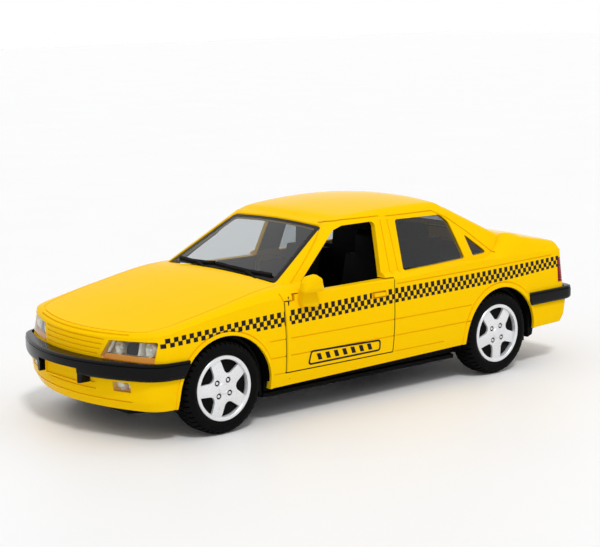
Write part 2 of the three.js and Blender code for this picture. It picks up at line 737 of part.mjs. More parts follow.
addPiece("body_shell", shell, YELLOW);

// Doors: the panel between outer and inner skin and a full-height knuckle on the hinge line. The left door,
// on the driver's side, has the one mirror.

const MIRROR = {
  x: [HINGE_X - 10.6, HINGE_X - 2.2],
  y: [BODY_WIDTH / 2 + 0.2, BODY_WIDTH / 2 + 4],
  z: [BELT_Z + 0.6, BELT_Z + 5.8],
};
const mirrorHead = prism(
  [
    [MIRROR.x[0], MIRROR.z[0]],
    [MIRROR.x[1], MIRROR.z[0]],
    [MIRROR.x[1] - 0.6, MIRROR.z[1] - 2],
    [MIRROR.x[1] - 2, MIRROR.z[1] - 0.4],
    [MIRROR.x[0] + 3, MIRROR.z[1]],
    [MIRROR.x[0] + 0.8, MIRROR.z[1] - 1.4],
  ],
  "y",
  ...MIRROR.y,
);
const mirrorFoot = prism(
  [
    [MIRROR.x[0] + 1.5, BELT_Z - 3.5],
    [MIRROR.x[1] - 0.4, BELT_Z - 3.5],
    [MIRROR.x[1] - 1, MIRROR.z[0] + 1],
    [MIRROR.x[0] + 1, MIRROR.z[0] + 1],
  ],
  "y",
  HINGE_Y + 0.4,
  MIRROR.y[0] + 0.6,
);
const knuckle = rod(KNUCKLE_RADIUS, "z", [HINGE_X, HINGE_Y], DOOR_BOTTOM_Z, NOTCH_Z, 20);
const knuckleBore = rod(HINGE_PIN_RADIUS + RUNNING + PRESS, "z", [HINGE_X, HINGE_Y], 0, ROOF_Z, 16);
const doorSkin = lowerOuter.subtract(lowerBody(WALL)).intersect(sideCut(DOOR_PANEL));
const door = doorSkin.add(knuckle.intersect(lowerOuter)).subtract(knuckleBore);
addPiece("door_left", door.add(mirrorHead).add(mirrorFoot), YELLOW);
addPiece("door_right", mirrored(door), YELLOW);
const hingePin = rod(HINGE_PIN_RADIUS, "z", [HINGE_X, HINGE_Y], DOOR_BOTTOM_Z - 2.2, BELT_Z - 0.3, 12);
addPair("door_hinge_pin", hingePin, STEEL);

// Glazing: a plug that fills each window and a flange behind the shell that holds it

const GLASS_SUNK = 0.4;
const FLANGE = 1.1;
const FLANGE_THICKNESS = 0.8;

function layer(form, from, to) {
  const bottom = () => CABIN_FOOT_Z - 2;
  return dome(form, from, bottom).subtract(dome(form, to, () => CABIN_FOOT_Z - 4));
}

const plugLayer = layer(cabinForm, GLASS_SUNK, WALL + GAP + FLANGE_THICKNESS);
const flangeLayer = layer(cabinForm, WALL + GAP, WALL + GAP + FLANGE_THICKNESS);

function glazed(cut, points) {
  const plug = plugLayer.intersect(cut(grown(points, -GAP)));
  const flange = flangeLayer.intersect(cut(grown(points, FLANGE)));
  return plug.add(flange);
}

function above(z) {
  return block([-OVERALL_LENGTH, OVERALL_LENGTH], [-BODY_WIDTH, BODY_WIDTH], [z, ROOF_Z]);
}

addPiece("windscreen", glazed(screenCut, WINDSCREEN).intersect(above(COWL_Z + 0.8)), CLEAR);
addPiece("rear_screen", glazed(screenCut, REAR_SCREEN).intersect(above(BOOT_FRONT_Z + 0.6)), CLEAR);
const sideGlass = glazed(sideCut, REAR_WINDOW).add(glazed(sideCut, QUARTER_LIGHT));
const glassRun = flangeLayer.intersect(
  sideCut([
    [REAR_WINDOW[4][0] + 1, QUARTER_LIGHT[0][1]],
    [QUARTER_LIGHT[0][0] - 1, QUARTER_LIGHT[0][1]],
    [QUARTER_LIGHT[1][0] - 0.5, QUARTER_LIGHT[1][1] - 2],
    [REAR_WINDOW[4][0] + 2, QUARTER_LIGHT[1][1] - 2],
  ]),
);
addPair("side_glass", sideGlass.add(glassRun), CLEAR);

// Bumper strips: bands that stand proud of the nose and tail and wrap round onto the sides

const STRIP_PROUD = 0.9;
const STRIP_BOW = 3;
const FRONT_STRIP_END_X = FRONT_AXLE_X + 12.4;
const REAR_STRIP_END_X = REAR_AXLE_X - 14.6;
const PLATE_HALF_WIDTH = 9;
const PLATE_THICKNESS = 0.8;
const FRONT_PLATE_Z = [FRONT_STRIP_Z[0] - 3.3, FRONT_STRIP_Z[0] + 1.3];
const REAR_PLATE_Z = [REAR_STRIP_Z[1] + 2.4, REAR_STRIP_Z[1] + 7.8];
const PLATE_EAR = 1.8;

const STRIP_ROUNDING = 1.6;

const stripForm = {
  ...lowerForm,
  front: () => OVERALL_LENGTH / 2,
  rear: () => -OVERALL_LENGTH / 2,
  halfWidth: (z) => lowerForm.halfWidth(z) + STRIP_PROUD + GAP,
  bow: { front: lowerForm.bow.front + STRIP_BOW, rear: lowerForm.bow.rear },
  corner: { front: lowerForm.corner.front, rear: lowerForm.corner.rear + STRIP_ROUNDING },
};

function planSlab(form, z, inset, height) {
  const half = halfOutline(form, z, inset).map((p) => [p.x, p.y]);
  const far = half
    .slice(1, -1)
    .reverse()
    .map(([x, y]) => [x, -y]);
  return prism([...half, ...far], "z", ...height);
}

function strip(height, keep) {
  const middle = (height[0] + height[1]) / 2;
  const body = planSlab(lowerForm, middle, -GAP, [0, ROOF_Z]);
  const band = planSlab(stripForm, middle, 0, height).subtract(body);
  return band.intersect(block(keep, [-BODY_WIDTH, BODY_WIDTH], [0, ROOF_Z]));
}

const plateEar = planSlab(lowerForm, FRONT_PLATE_Z[1] - 2, -GAP - PLATE_THICKNESS - GAP, [
  FRONT_PLATE_Z[0],
  FRONT_STRIP_Z[0] + 1,
])
  .subtract(planSlab(lowerForm, FRONT_STRIP_Z[0] - GAP, -GAP, [0, ROOF_Z]))
  .intersect(
    block(
      [FRONT_AXLE_X, OVERALL_LENGTH],
      [PLATE_HALF_WIDTH + GAP, PLATE_HALF_WIDTH + GAP + PLATE_EAR],
      [0, ROOF_Z],
    ),
  );
const plateNotch = block(
  [FRONT_AXLE_X, OVERALL_LENGTH],
  [-PLATE_HALF_WIDTH - GAP, PLATE_HALF_WIDTH + GAP],
  [0, FRONT_PLATE_Z[1] + GAP],
);
const frontStrip = strip(FRONT_STRIP_Z, [FRONT_STRIP_END_X, OVERALL_LENGTH])
  .subtract(plateNotch)
  .add(bothSides(plateEar));
addPiece("front_bumper_strip", frontStrip, BLACK);
addPiece("rear_bumper_strip", strip(REAR_STRIP_Z, [-OVERALL_LENGTH, REAR_STRIP_END_X]), BLACK);

const plateY = [-PLATE_HALF_WIDTH, PLATE_HALF_WIDTH];
const frontPlateX = [NOSE_X + GAP, NOSE_X + GAP + PLATE_THICKNESS];
const rearPanelX = lowerForm.rear(REAR_PLATE_Z[0]);
addPiece("front_number_plate", block(frontPlateX, plateY, FRONT_PLATE_Z), YELLOW);
addPiece(
  "rear_number_plate",
  block([rearPanelX - GAP - PLATE_THICKNESS, rearPanelX - GAP], plateY, REAR_PLATE_Z),
  YELLOW,
);

// Lamps: each lens follows the outside of the body in its opening, with a reflector behind the headlamps

const LENS = 1;
const REFLECTOR = 2;

function bodyLayer(from, to) {
  return lowerBody(from).subtract(lowerBody(to));
}

const headlampHole = frontCut(grown(HEADLAMP, -GAP));
const lensLayer = bodyLayer(0, LENS);
addPair("headlamp_lens", lensLayer.intersect(headlampHole), CLEAR);
addPair("headlamp_reflector", bodyLayer(LENS + GAP, LENS + GAP + REFLECTOR).intersect(headlampHole), CHROME);
addPair("fog_lamp", lensLayer.intersect(frontCut(grown(FOG_LAMP, -GAP))), CLEAR);
const tailHole = tailCut(grown(TAIL_LAMP, -GAP), TAIL_LAMP_FRONT_X - GAP);
addPair("tail_lamp", bodyLayer(0, WALL).intersect(tailHole), RED);

// Chassis: floor plate, raised tail plate, axle bearings, wheel housings and screw bosses

const WHEEL_INNER_Y = WHEEL_FACE_Y - TYRE_WIDTH;
const HOUSING_INNER_Y = WHEEL_INNER_Y - 1.2;
const HOUSING_OUTER_Y = BODY_WIDTH / 2 - WALL - 1.5;
const BEARING_WIDTH = 5;
const BEARING_HALF_LENGTH = 3.2;
const TAIL_STEP_X = REAR_AXLE_X - 14.6;
const PLATE_HALF_WIDTH_BETWEEN = BODY_WIDTH / 2 - 4.1;
const floorHalf = [
  [POST_FRONT[0] + POST_RADIUS + 1, 0],
  [POST_FRONT[0] + POST_RADIUS + 1, POST_FRONT[1] + 7],
  [FRONT_AXLE_X + HOUSING_RADIUS, HOUSING_INNER_Y],
  [FRONT_AXLE_X - HOUSING_RADIUS, HOUSING_INNER_Y],
  [FRONT_AXLE_X - HOUSING_RADIUS - 1.5, PLATE_HALF_WIDTH_BETWEEN],
  [REAR_AXLE_X + HOUSING_RADIUS + 1.5, PLATE_HALF_WIDTH_BETWEEN],
  [REAR_AXLE_X + HOUSING_RADIUS, HOUSING_INNER_Y],
  [TAIL_STEP_X, HOUSING_INNER_Y],
];
const floorFar = floorHalf
  .slice(1)
  .reverse()
  .map(([x, y]) => [x, -y]);
const floorPlate = prism([...floorHalf, ...floorFar], "z", CHASSIS_Z, CHASSIS_TOP);
const tailPlate = prism(
  [
    [TAIL_STEP_X + CHASSIS_THICKNESS, CHASSIS_Z],
    [TAIL_STEP_X + CHASSIS_THICKNESS, TAIL_PLATE_Z + CHASSIS_THICKNESS],
    [POST_REAR[0] - POST_RADIUS - 3, TAIL_PLATE_Z + CHASSIS_THICKNESS],
    [POST_REAR[0] - POST_RADIUS - 3, TAIL_PLATE_Z],
    [TAIL_STEP_X, TAIL_PLATE_Z],
    [TAIL_STEP_X, CHASSIS_Z],
  ],
  "y",
  -HOUSING_INNER_Y,
  HOUSING_INNER_Y,
);

function ringSector(radius, wall, axleX, bottom) {
  const shape = new THREE.Shape();
  shape.moveTo(axleX + radius, bottom);
  shape.absarc(axleX, AXLE_Z, radius, 0, Math.PI, false);
  shape.lineTo(axleX - radius, bottom);
  if (wall) {
    shape.lineTo(axleX - radius + wall, bottom);
    shape.absarc(axleX, AXLE_Z, radius - wall, Math.PI, 0, true);
    shape.lineTo(axleX + radius - wall, bottom);
  }
  return shape;
}

function axleStation(axleX) {
  const wall = drawnOut(
    ringSector(HOUSING_RADIUS, 0, axleX, CHASSIS_Z),
    "y",
    HOUSING_INNER_Y - HOUSING_WALL,
    HOUSING_INNER_Y,
    6,
  );
  const roof = drawnOut(
    ringSector(HOUSING_RADIUS, HOUSING_WALL, axleX, CHASSIS_TOP),
    "y",
    HOUSING_INNER_Y - HOUSING_WALL,
    HOUSING_OUTER_Y,
    6,
  );
  const bearing = block(
    [axleX - BEARING_HALF_LENGTH, axleX + BEARING_HALF_LENGTH],
    [HOUSING_INNER_Y - BEARING_WIDTH, HOUSING_INNER_Y],
    [CHASSIS_Z, AXLE_Z + BEARING_HALF_LENGTH],
  );
  const bore = rod(AXLE_RADIUS + RUNNING, "y", [axleX, AXLE_Z], 0, BODY_WIDTH, AXLE_SIDES);
  return wall.add(roof).add(bearing).subtract(bore);
}

function screwBoss(at, bottom, top) {
  return rod(POST_RADIUS + 0.6, "z", at, bottom, top, POST_SIDES);
}

function screwBore(at, bottom) {
  const head = rod(SCREW_HEAD_RADIUS + GAP, "z", at, 0, bottom + SCREW_HEAD_HEIGHT + 2 * GAP, POST_SIDES);
  return head.add(rod(SCREW_RADIUS + GAP, "z", at, 0, ROOF_Z, SCREW_SIDES));
}

let chassis = floorPlate.add(tailPlate);
chassis = chassis.add(bothSides(axleStation(FRONT_AXLE_X))).add(bothSides(axleStation(REAR_AXLE_X)));
chassis = chassis.add(bothSides(screwBoss(POST_FRONT, CHASSIS_Z, FRONT_BOSS_TOP)));
chassis = chassis.add(bothSides(screwBoss(POST_REAR, TAIL_PLATE_Z, REAR_BOSS_TOP)));
chassis = chassis.subtract(bothSides(screwBore(POST_FRONT, CHASSIS_Z)));
chassis = chassis.subtract(bothSides(screwBore(POST_REAR, TAIL_PLATE_Z)));
addPiece("chassis", chassis, BLACK);

function screw(at, bottom) {
  const top = bottom + SCREW_HEAD_HEIGHT + GAP;
  const head = rod(SCREW_HEAD_RADIUS, "z", at, bottom + GAP, top, POST_SIDES);
  const slot = block([at[0] - 1.2, at[0] + 1.2], [at[1] - 0.25, at[1] + 0.25], [0, bottom + GAP + 0.5]);
  return head.add(rod(SCREW_RADIUS, "z", at, top - 0.1, top + SCREW_LENGTH, SCREW_SIDES)).subtract(slot);
}

addPair("front_chassis_screw", screw(POST_FRONT, CHASSIS_Z), STEEL);
addPair("rear_chassis_screw", screw(POST_REAR, TAIL_PLATE_Z), STEEL);

// Interior: tub with firewall, rear bench and parcel shelf, front seats, dashboard and steering wheel

const TUB_Z = CHASSIS_TOP + GAP;
const TUB_TOP = TUB_Z + TUB_FLOOR;
const SHELF_Z = BELT_Z + 0.6;
const DASH_TOP = COWL_Z - WALL - 1.6;
const SHELF_REAR_X = REAR_SCREEN_BASE_X + 6;
const BENCH_HALF_WIDTH = BODY_WIDTH / 2 - 7.6;
const CUSHION_HEIGHT = 8.6;
const BACKREST_HEIGHT = 30.5;
const HEADREST_HEIGHT = 39.6;
const BACKREST_RAKE = 4.9;
const CUSHION_LENGTH = 14.1;
const BENCH_BACK_TOP = BELT_Z + 8.6;
const BENCH_BACK_HALF_WIDTH = BODY_WIDTH / 2 - 11.4;
const BENCH_HEADREST_TOP = BELT_Z + 12.4;
const BENCH_HEADREST_Y = [6.6, 18.6];
const BACKREST_THICKNESS = 4.2;
const BACKREST_TOP_X = SEAT_X - CUSHION_LENGTH - BACKREST_RAKE;

function acrossCar(points, halfWidth) {
  return prism(points, "y", -halfWidth, halfWidth);
}

const tubFloor = block([BENCH_REAR_X, FIREWALL_X], [-TUB_HALF_WIDTH, TUB_HALF_WIDTH], [TUB_Z, TUB_TOP]);
const tubSide = block(
  [BENCH_REAR_X, FIREWALL_X],
  [TUB_HALF_WIDTH - TUB_FLOOR, TUB_HALF_WIDTH],
  [TUB_Z, DOOR_BOTTOM_Z],
);
const tunnel = block([BENCH_REAR_X, FIREWALL_X], [-3, 3], [TUB_Z, TUB_TOP + 4]);
const firewall = block(
  [FIREWALL_X - TUB_FLOOR, FIREWALL_X],
  [-BENCH_HALF_WIDTH, BENCH_HALF_WIDTH],
  [TUB_Z, DASH_TOP - 1.4],
);
const bench = acrossCar(
  [
    [BENCH_REAR_X + 15.4, TUB_TOP - 0.5],
    [BENCH_REAR_X + 15.4, TUB_TOP + 7.5],
    [BENCH_REAR_X + 13.9, TUB_TOP + 9],
    [BENCH_REAR_X + 7.9, TUB_TOP + 8],
    [BENCH_REAR_X + 3.9, SHELF_Z + TUB_FLOOR],
    [BENCH_REAR_X, SHELF_Z + TUB_FLOOR],
    [BENCH_REAR_X, TUB_TOP - 0.5],
  ],
  BENCH_HALF_WIDTH,
);
const benchBack = acrossCar(
  [
    [BENCH_REAR_X + 3.9, SHELF_Z],
    [BENCH_REAR_X + 3, BENCH_BACK_TOP - 1],
    [BENCH_REAR_X + 2, BENCH_BACK_TOP],
    [BENCH_REAR_X - 0.8, BENCH_BACK_TOP],
    [BENCH_REAR_X - 0.8, SHELF_Z],
  ],
  BENCH_BACK_HALF_WIDTH,
);
const benchHeadrest = prism(
  [
    [BENCH_REAR_X + 2.6, BENCH_BACK_TOP - 1],
    [BENCH_REAR_X + 2.2, BENCH_HEADREST_TOP - 1],
    [BENCH_REAR_X + 1.2, BENCH_HEADREST_TOP],
    [BENCH_REAR_X - 0.8, BENCH_HEADREST_TOP],
    [BENCH_REAR_X - 0.8, BENCH_BACK_TOP - 1],
  ],
  "y",
  ...BENCH_HEADREST_Y,
);
const shelf = prism(
  [
    [BENCH_REAR_X + 1, BENCH_HALF_WIDTH],
    [SHELF_REAR_X, BENCH_HALF_WIDTH - 4],
    [SHELF_REAR_X, -BENCH_HALF_WIDTH + 4],
    [BENCH_REAR_X + 1, -BENCH_HALF_WIDTH],
  ],
  "z",
  SHELF_Z,
  SHELF_Z + TUB_FLOOR,
);
const rearSeat = bench.add(benchBack).add(bothSides(benchHeadrest));
const tub = tubFloor.add(bothSides(tubSide)).add(tunnel).add(firewall).add(rearSeat).add(shelf);
addPiece("interior_tub", tub, BLACK);

const SEAT_Z = TUB_TOP + GAP;
const seatSide = new THREE.Shape();
seatSide.moveTo(SEAT_X - 0.5, SEAT_Z);
seatSide.lineTo(SEAT_X, SEAT_Z + CUSHION_HEIGHT - 1.6);
seatSide.quadraticCurveTo(SEAT_X - 2.5, SEAT_Z + CUSHION_HEIGHT + 0.9, SEAT_X - 6.5, SEAT_Z + CUSHION_HEIGHT);
seatSide.lineTo(SEAT_X - CUSHION_LENGTH, SEAT_Z + CUSHION_HEIGHT - 1);
seatSide.lineTo(BACKREST_TOP_X, SEAT_Z + BACKREST_HEIGHT);
seatSide.lineTo(BACKREST_TOP_X - 0.4, SEAT_Z + HEADREST_HEIGHT - 2.4);
seatSide.quadraticCurveTo(
  BACKREST_TOP_X - 1.8,
  SEAT_Z + HEADREST_HEIGHT,
  BACKREST_TOP_X - BACKREST_THICKNESS + 0.4,
  SEAT_Z + HEADREST_HEIGHT - 2,
);
seatSide.lineTo(BACKREST_TOP_X - BACKREST_THICKNESS, SEAT_Z + BACKREST_HEIGHT + 1);
seatSide.lineTo(SEAT_X - 19.5, SEAT_Z + 6);
seatSide.lineTo(SEAT_X - 18.5, SEAT_Z);
const seatBody = drawnOut(seatSide, "y", SEAT_Y - SEAT_WIDTH / 2, SEAT_Y + SEAT_WIDTH / 2, 6);
const besideHeadrest = block(
  [SEAT_X - 26, SEAT_X - 15],
  [SEAT_Y + SEAT_WIDTH / 4, SEAT_Y + SEAT_WIDTH],
  [SEAT_Z + BACKREST_HEIGHT + 0.4, SEAT_Z + HEADREST_HEIGHT + 6.6],
);
const besideHeadrestToo = shifted(besideHeadrest, [0, -SEAT_WIDTH * 1.25, 0]);
addPair("front_seat", seatBody.subtract(besideHeadrest).subtract(besideHeadrestToo), BLACK);

const DASH_HALF_WIDTH = BENCH_HALF_WIDTH - 0.5;
const dashX = FIREWALL_X - TUB_FLOOR - GAP;
const dashSide = [
  [dashX, BELT_Z - 13],
  [dashX, DASH_TOP - 1.4],
  [FIREWALL_X - 9, DASH_TOP],
  [FIREWALL_X - 14, DASH_TOP - 0.6],
  [FIREWALL_X - 15, BELT_Z - 4],
  [FIREWALL_X - 11.5, BELT_Z - 11],
];
const binnacle = block(
  [FIREWALL_X - 15.4, FIREWALL_X - 10],
  [SEAT_Y - 6, SEAT_Y + 6],
  [BELT_Z - 3, COWL_Z - 1],
);
const WHEEL_TILT = 0.42;
const STEERING_RADIUS = 5.6;
const steeringCentre = new THREE.Vector3(FIREWALL_X - 20.6, SEAT_Y, BELT_Z - 4.4);

function tilted(geometry) {
  geometry.rotateY(Math.PI / 2 - WHEEL_TILT);
  geometry.translate(...steeringCentre);
  return solid(geometry);
}

function columnPart(radius, start, end, sides) {
  const geometry = new THREE.CylinderGeometry(radius, radius, end - start, sides);
  geometry.rotateX(Math.PI / 2);
  geometry.translate(0, 0, (start + end) / 2);
  return tilted(geometry);
}

const COLUMN_REACH = 7.5;
const columnHole = columnPart(0.9 + GAP, 0, COLUMN_REACH + GAP, 12);
addPiece("dashboard", acrossCar(dashSide, DASH_HALF_WIDTH).add(binnacle).subtract(columnHole), BLACK);
const steeringSpokes = [0, 1, 2].map((spoke) => {
  const geometry = new THREE.BoxGeometry(STEERING_RADIUS, 1.2, 0.7);
  geometry.translate(STEERING_RADIUS / 2, 0, 0);
  geometry.rotateZ((spoke * 2 * Math.PI) / 3);
  return tilted(geometry);
});
let steering = tilted(new THREE.TorusGeometry(STEERING_RADIUS, 0.65, 5, 18));
steeringSpokes.forEach((spoke) => {
  steering = steering.add(spoke);
});
steering = steering.add(columnPart(1.5, -0.6, 0.6, 12)).add(columnPart(0.9, 0, COLUMN_REACH, 12));
addPiece("steering_wheel", steering, BLACK);

// Wheels: tyre on a five-spoke rim, both centred on an axle

function tyre(axleX) {
  const seat = RIM_RADIUS + PRESS;
  const half = TYRE_WIDTH / 2;
  const profile = [
    [seat, -half + 0.5],
    [seat + 1.4, -half],
    [TYRE_RADIUS - 1.3, -half + 0.3],
    [TYRE_RADIUS, -half + 1.5],
    [TYRE_RADIUS, half - 1.5],
    [TYRE_RADIUS - 1.3, half - 0.3],
    [seat + 1.4, half],
    [seat, half - 0.5],
    [seat, -half + 0.5],
  ].map(([r, y]) => new THREE.Vector2(r, y));
  const geometry = new THREE.LatheGeometry(profile, TYRE_SIDES, Math.PI / TYRE_SIDES);
  geometry.translate(axleX, WHEEL_FACE_Y - half, AXLE_Z);
  return solid(geometry);
}

function polar(radius, turn) {
  return [radius * Math.cos(turn), radius * Math.sin(turn)];
}

function rim(axleX, turn) {
  const at = (point) => [axleX + point[0], AXLE_Z + point[1]];
  const star = [];
  for (let spoke = 0; spoke < SPOKES; spoke += 1) {
    const middle = turn + (spoke * 2 * Math.PI) / SPOKES;
    const tip = RIM_RADIUS - RIM_WALL / 2;
    star.push(at(polar(tip, middle - SPOKE_TIP_TURN)), at(polar(tip, middle + SPOKE_TIP_TURN)));
    star.push(at(polar(SPOKE_ROOT_RADIUS, middle + SPOKE_ROOT_TURN)));
    star.push(at(polar(SPOKE_ROOT_RADIUS - 0.7, middle + Math.PI / SPOKES)));
    star.push(at(polar(SPOKE_ROOT_RADIUS, middle + (2 * Math.PI) / SPOKES - SPOKE_ROOT_TURN)));
  }
  const centre = [axleX, AXLE_Z];
  const innerFace = WHEEL_FACE_Y - RIM_FACE_DEPTH;
  const outside = rod(RIM_RADIUS, "y", centre, WHEEL_INNER_Y + 0.5, WHEEL_FACE_Y - 0.2, TYRE_SIDES);
  const inside = rod(RIM_RADIUS - RIM_WALL, "y", centre, 0, BODY_WIDTH, TYRE_SIDES);
  const hub = rod(HUB_RADIUS, "y", centre, HOUSING_INNER_Y + GAP, innerFace + 0.2, AXLE_SIDES);
  let wheel = outside.subtract(inside).add(prism(star, "y", innerFace, WHEEL_FACE_Y - SPOKES_SUNK)).add(hub);
  for (let lug = 0; lug < LUG_HOLES; lug += 1) {
    const hole = at(polar(LUG_CIRCLE, turn + LUG_TURN + (lug * 2 * Math.PI) / LUG_HOLES));
    wheel = wheel.subtract(rod(LUG_RADIUS, "y", hole, 0, BODY_WIDTH, 8));
  }
  const cap = rod(CAP_RADIUS, "y", centre, innerFace + 0.5, WHEEL_FACE_Y - 0.1, POST_SIDES);
  const bore = rod(AXLE_RADIUS + PRESS, "y", centre, 0, innerFace, AXLE_SIDES);
  return wheel.add(cap).subtract(bore);
}

const AXLE_END_Y = WHEEL_FACE_Y - RIM_FACE_DEPTH - GAP;
[
  ["front", FRONT_AXLE_X, FRONT_WHEEL_TURN],
  ["rear", REAR_AXLE_X, REAR_WHEEL_TURN],
].forEach(([place, axleX, turn]) => {
  addPair(`${place}_tyre`, tyre(axleX), RUBBER);
  addPair(`${place}_rim`, rim(axleX, turn), SILVER);
  const axle = rod(AXLE_RADIUS, "y", [axleX, AXLE_Z], -AXLE_END_Y, AXLE_END_Y, AXLE_SIDES);
  addPiece(`${place}_axle`, axle, STEEL);
});

// Pull-back motor: a gear pressed on the rear axle drives a spring barrel that turns on a fixed arbor

const GEAR_RADIUS = (GEAR_MODULE * AXLE_GEAR_TEETH) / 2;
const BARREL_RADIUS = (GEAR_MODULE * BARREL_TEETH) / 2;
const CENTRES = GEAR_RADIUS + BARREL_RADIUS + BACKLASH / 2;
const MESH_TURN = Math.PI - Math.acos(BARREL_BEHIND / CENTRES);
const axleAt = [REAR_AXLE_X, AXLE_Z];
const barrelAt = [REAR_AXLE_X + CENTRES * Math.cos(MESH_TURN), AXLE_Z + CENTRES * Math.sin(MESH_TURN)];
const PRESSURE_ANGLE = Math.PI / 9;

// Involute gear with its first tooth pointing along the given turn
function gear(teeth, firstTooth, at, halfWidth) {
  const pitch = (GEAR_MODULE * teeth) / 2;
  const base = pitch * Math.cos(PRESSURE_ANGLE);
  const root = pitch - 1.2 * GEAR_MODULE;
  const involute = (angle) => Math.tan(angle) - angle;
  const halfAtPitch = Math.PI / 2 / teeth - BACKLASH / (4 * pitch);
  const half = (radius) => {
    const angle = Math.acos(Math.min(1, base / Math.max(radius, base)));
    return halfAtPitch + involute(PRESSURE_ANGLE) - involute(angle);
  };
  const flank = [root, pitch, pitch + ADDENDUM];
  const points = [];
  for (let tooth = 0; tooth < teeth; tooth += 1) {
    const middle = firstTooth + (tooth * 2 * Math.PI) / teeth;
    flank.forEach((radius) => points.push(polar(radius, middle - half(radius))));
    [...flank].reverse().forEach((radius) => points.push(polar(radius, middle + half(radius))));
  }
  return prism(
    points.map(([u, v]) => [u + at[0], v + at[1]]),
    "y",
    -halfWidth,
    halfWidth,
  );
}

const axleBore = rod(AXLE_RADIUS + PRESS, "y", axleAt, -BODY_WIDTH, BODY_WIDTH, AXLE_SIDES);
const axleGear = gear(AXLE_GEAR_TEETH, MESH_TURN, axleAt, GEAR_WIDTH / 2).subtract(axleBore);
addPiece("axle_gear", axleGear, WHITE_GEAR);

const BARREL_WEB = 1;
const CUP_RADIUS = BARREL_RADIUS - 1.2 * GEAR_MODULE - 1;
const BARREL_HUB_RADIUS = ARBOR_RADIUS + 1.1;
const barrelTurn = MESH_TURN + Math.PI + Math.PI / BARREL_TEETH;
const cupFrom = -GEAR_WIDTH / 2 + BARREL_WEB;
const cup = rod(CUP_RADIUS, "y", barrelAt, cupFrom, GEAR_WIDTH, 20).subtract(
  rod(BARREL_HUB_RADIUS, "y", barrelAt, -GEAR_WIDTH, GEAR_WIDTH, AXLE_SIDES),
);
const arborBore = rod(ARBOR_RADIUS + RUNNING, "y", barrelAt, -BODY_WIDTH, BODY_WIDTH, AXLE_SIDES);
const barrel = gear(BARREL_TEETH, barrelTurn, barrelAt, GEAR_WIDTH / 2).subtract(cup).subtract(arborBore);
addPiece("spring_barrel_gear", barrel, WHITE_GEAR);

const SPIRAL_STEPS = 14;
const springInner = BARREL_HUB_RADIUS + GAP + SPRING_THICKNESS;
const springOuter = CUP_RADIUS - GAP - SPRING_THICKNESS;
const spiral = [];
const spiralPoints = SPRING_TURNS * SPIRAL_STEPS;
for (let i = 0; i <= spiralPoints; i += 1) {
  const radius = springInner + ((springOuter - springInner) * i) / spiralPoints;
  spiral.push([radius, (i * 2 * Math.PI) / SPIRAL_STEPS]);
}
const edgeOf = (offset) => spiral.map(([r, turn]) => polar(r + offset, turn));
const springEdge = [...edgeOf(SPRING_THICKNESS / 2), ...edgeOf(-SPRING_THICKNESS / 2).reverse()];
const mainspring = prism(
  springEdge.map(([u, v]) => [u + barrelAt[0], v + barrelAt[1]]),
  "y",
  cupFrom + GAP,
  GEAR_WIDTH / 2 - GAP,
);
addPiece("mainspring", mainspring, STEEL);

const arborEnd = CASE_HALF_WIDTH - GAP;
addPiece("spring_arbor", rod(ARBOR_RADIUS, "y", barrelAt, -arborEnd, arborEnd, AXLE_SIDES), STEEL);

// Outline round the two gears at a set distance from their tips
function caseOutline(clear) {
  const low = GEAR_RADIUS + ADDENDUM + clear;
  const high = BARREL_RADIUS + ADDENDUM + clear;
  const side = Math.acos((low - high) / CENTRES);
  const shape = new THREE.Shape();
  shape.absarc(...barrelAt, high, MESH_TURN - side, MESH_TURN + side, false);
  shape.absarc(...axleAt, low, MESH_TURN + side, MESH_TURN - side + 2 * Math.PI, false);
  return shape;
}

const caseOutside = drawnOut(caseOutline(TIP_CLEARANCE + CASE_WALL), "y", GAP / 2, CASE_HALF_WIDTH, 6);
const caseInside = drawnOut(caseOutline(TIP_CLEARANCE), "y", -1, CASE_HALF_WIDTH - CASE_WALL, 6);
const caseAxleHole = rod(AXLE_RADIUS + RUNNING, "y", axleAt, 0, BODY_WIDTH, AXLE_SIDES);
const caseArborHole = rod(ARBOR_RADIUS + PRESS, "y", barrelAt, 0, BODY_WIDTH, AXLE_SIDES);
addPair("motor_case", caseOutside.subtract(caseInside).subtract(caseAxleHole).subtract(caseArborHole), BLACK);

export default car;
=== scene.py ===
"""Looks of the toy saloon car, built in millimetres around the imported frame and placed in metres."""
import functools
import math

import bmesh
import bpy
import numpy as np
from mathutils import Matrix, Vector


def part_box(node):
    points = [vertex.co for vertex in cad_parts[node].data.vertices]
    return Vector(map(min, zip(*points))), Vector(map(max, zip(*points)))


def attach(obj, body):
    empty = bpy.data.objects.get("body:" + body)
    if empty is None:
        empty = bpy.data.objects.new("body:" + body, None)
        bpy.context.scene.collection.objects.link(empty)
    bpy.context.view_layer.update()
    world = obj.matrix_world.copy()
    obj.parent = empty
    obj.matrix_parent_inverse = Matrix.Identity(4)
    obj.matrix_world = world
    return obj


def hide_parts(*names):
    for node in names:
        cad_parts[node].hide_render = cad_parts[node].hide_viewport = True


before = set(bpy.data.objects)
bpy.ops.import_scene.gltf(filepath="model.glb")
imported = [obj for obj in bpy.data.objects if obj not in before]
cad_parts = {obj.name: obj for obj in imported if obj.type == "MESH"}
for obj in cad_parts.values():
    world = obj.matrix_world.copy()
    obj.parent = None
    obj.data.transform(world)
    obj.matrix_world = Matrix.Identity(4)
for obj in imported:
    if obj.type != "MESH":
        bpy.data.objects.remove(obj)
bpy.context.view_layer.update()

# Body shell: one hollow moulding in glossy yellow ABS, with roof, pillars, bonnet, wings and boot.
# Its outside is two domed forms, lower body and cabin, and a second pair inset by the wall hollows it.
# Panel lines, grille slots and wheel-arch lips come from the mould.
WALL = 1.6
NOSE_X, TAIL_X = 88.6, -89.6
FRONT_AXLE_X, REAR_AXLE_X = 57.6, -53.4
COWL_X, HEADER_X, REAR_HEADER_X, REAR_SCREEN_X = 34.6, 9.2, -43.0, -63.5
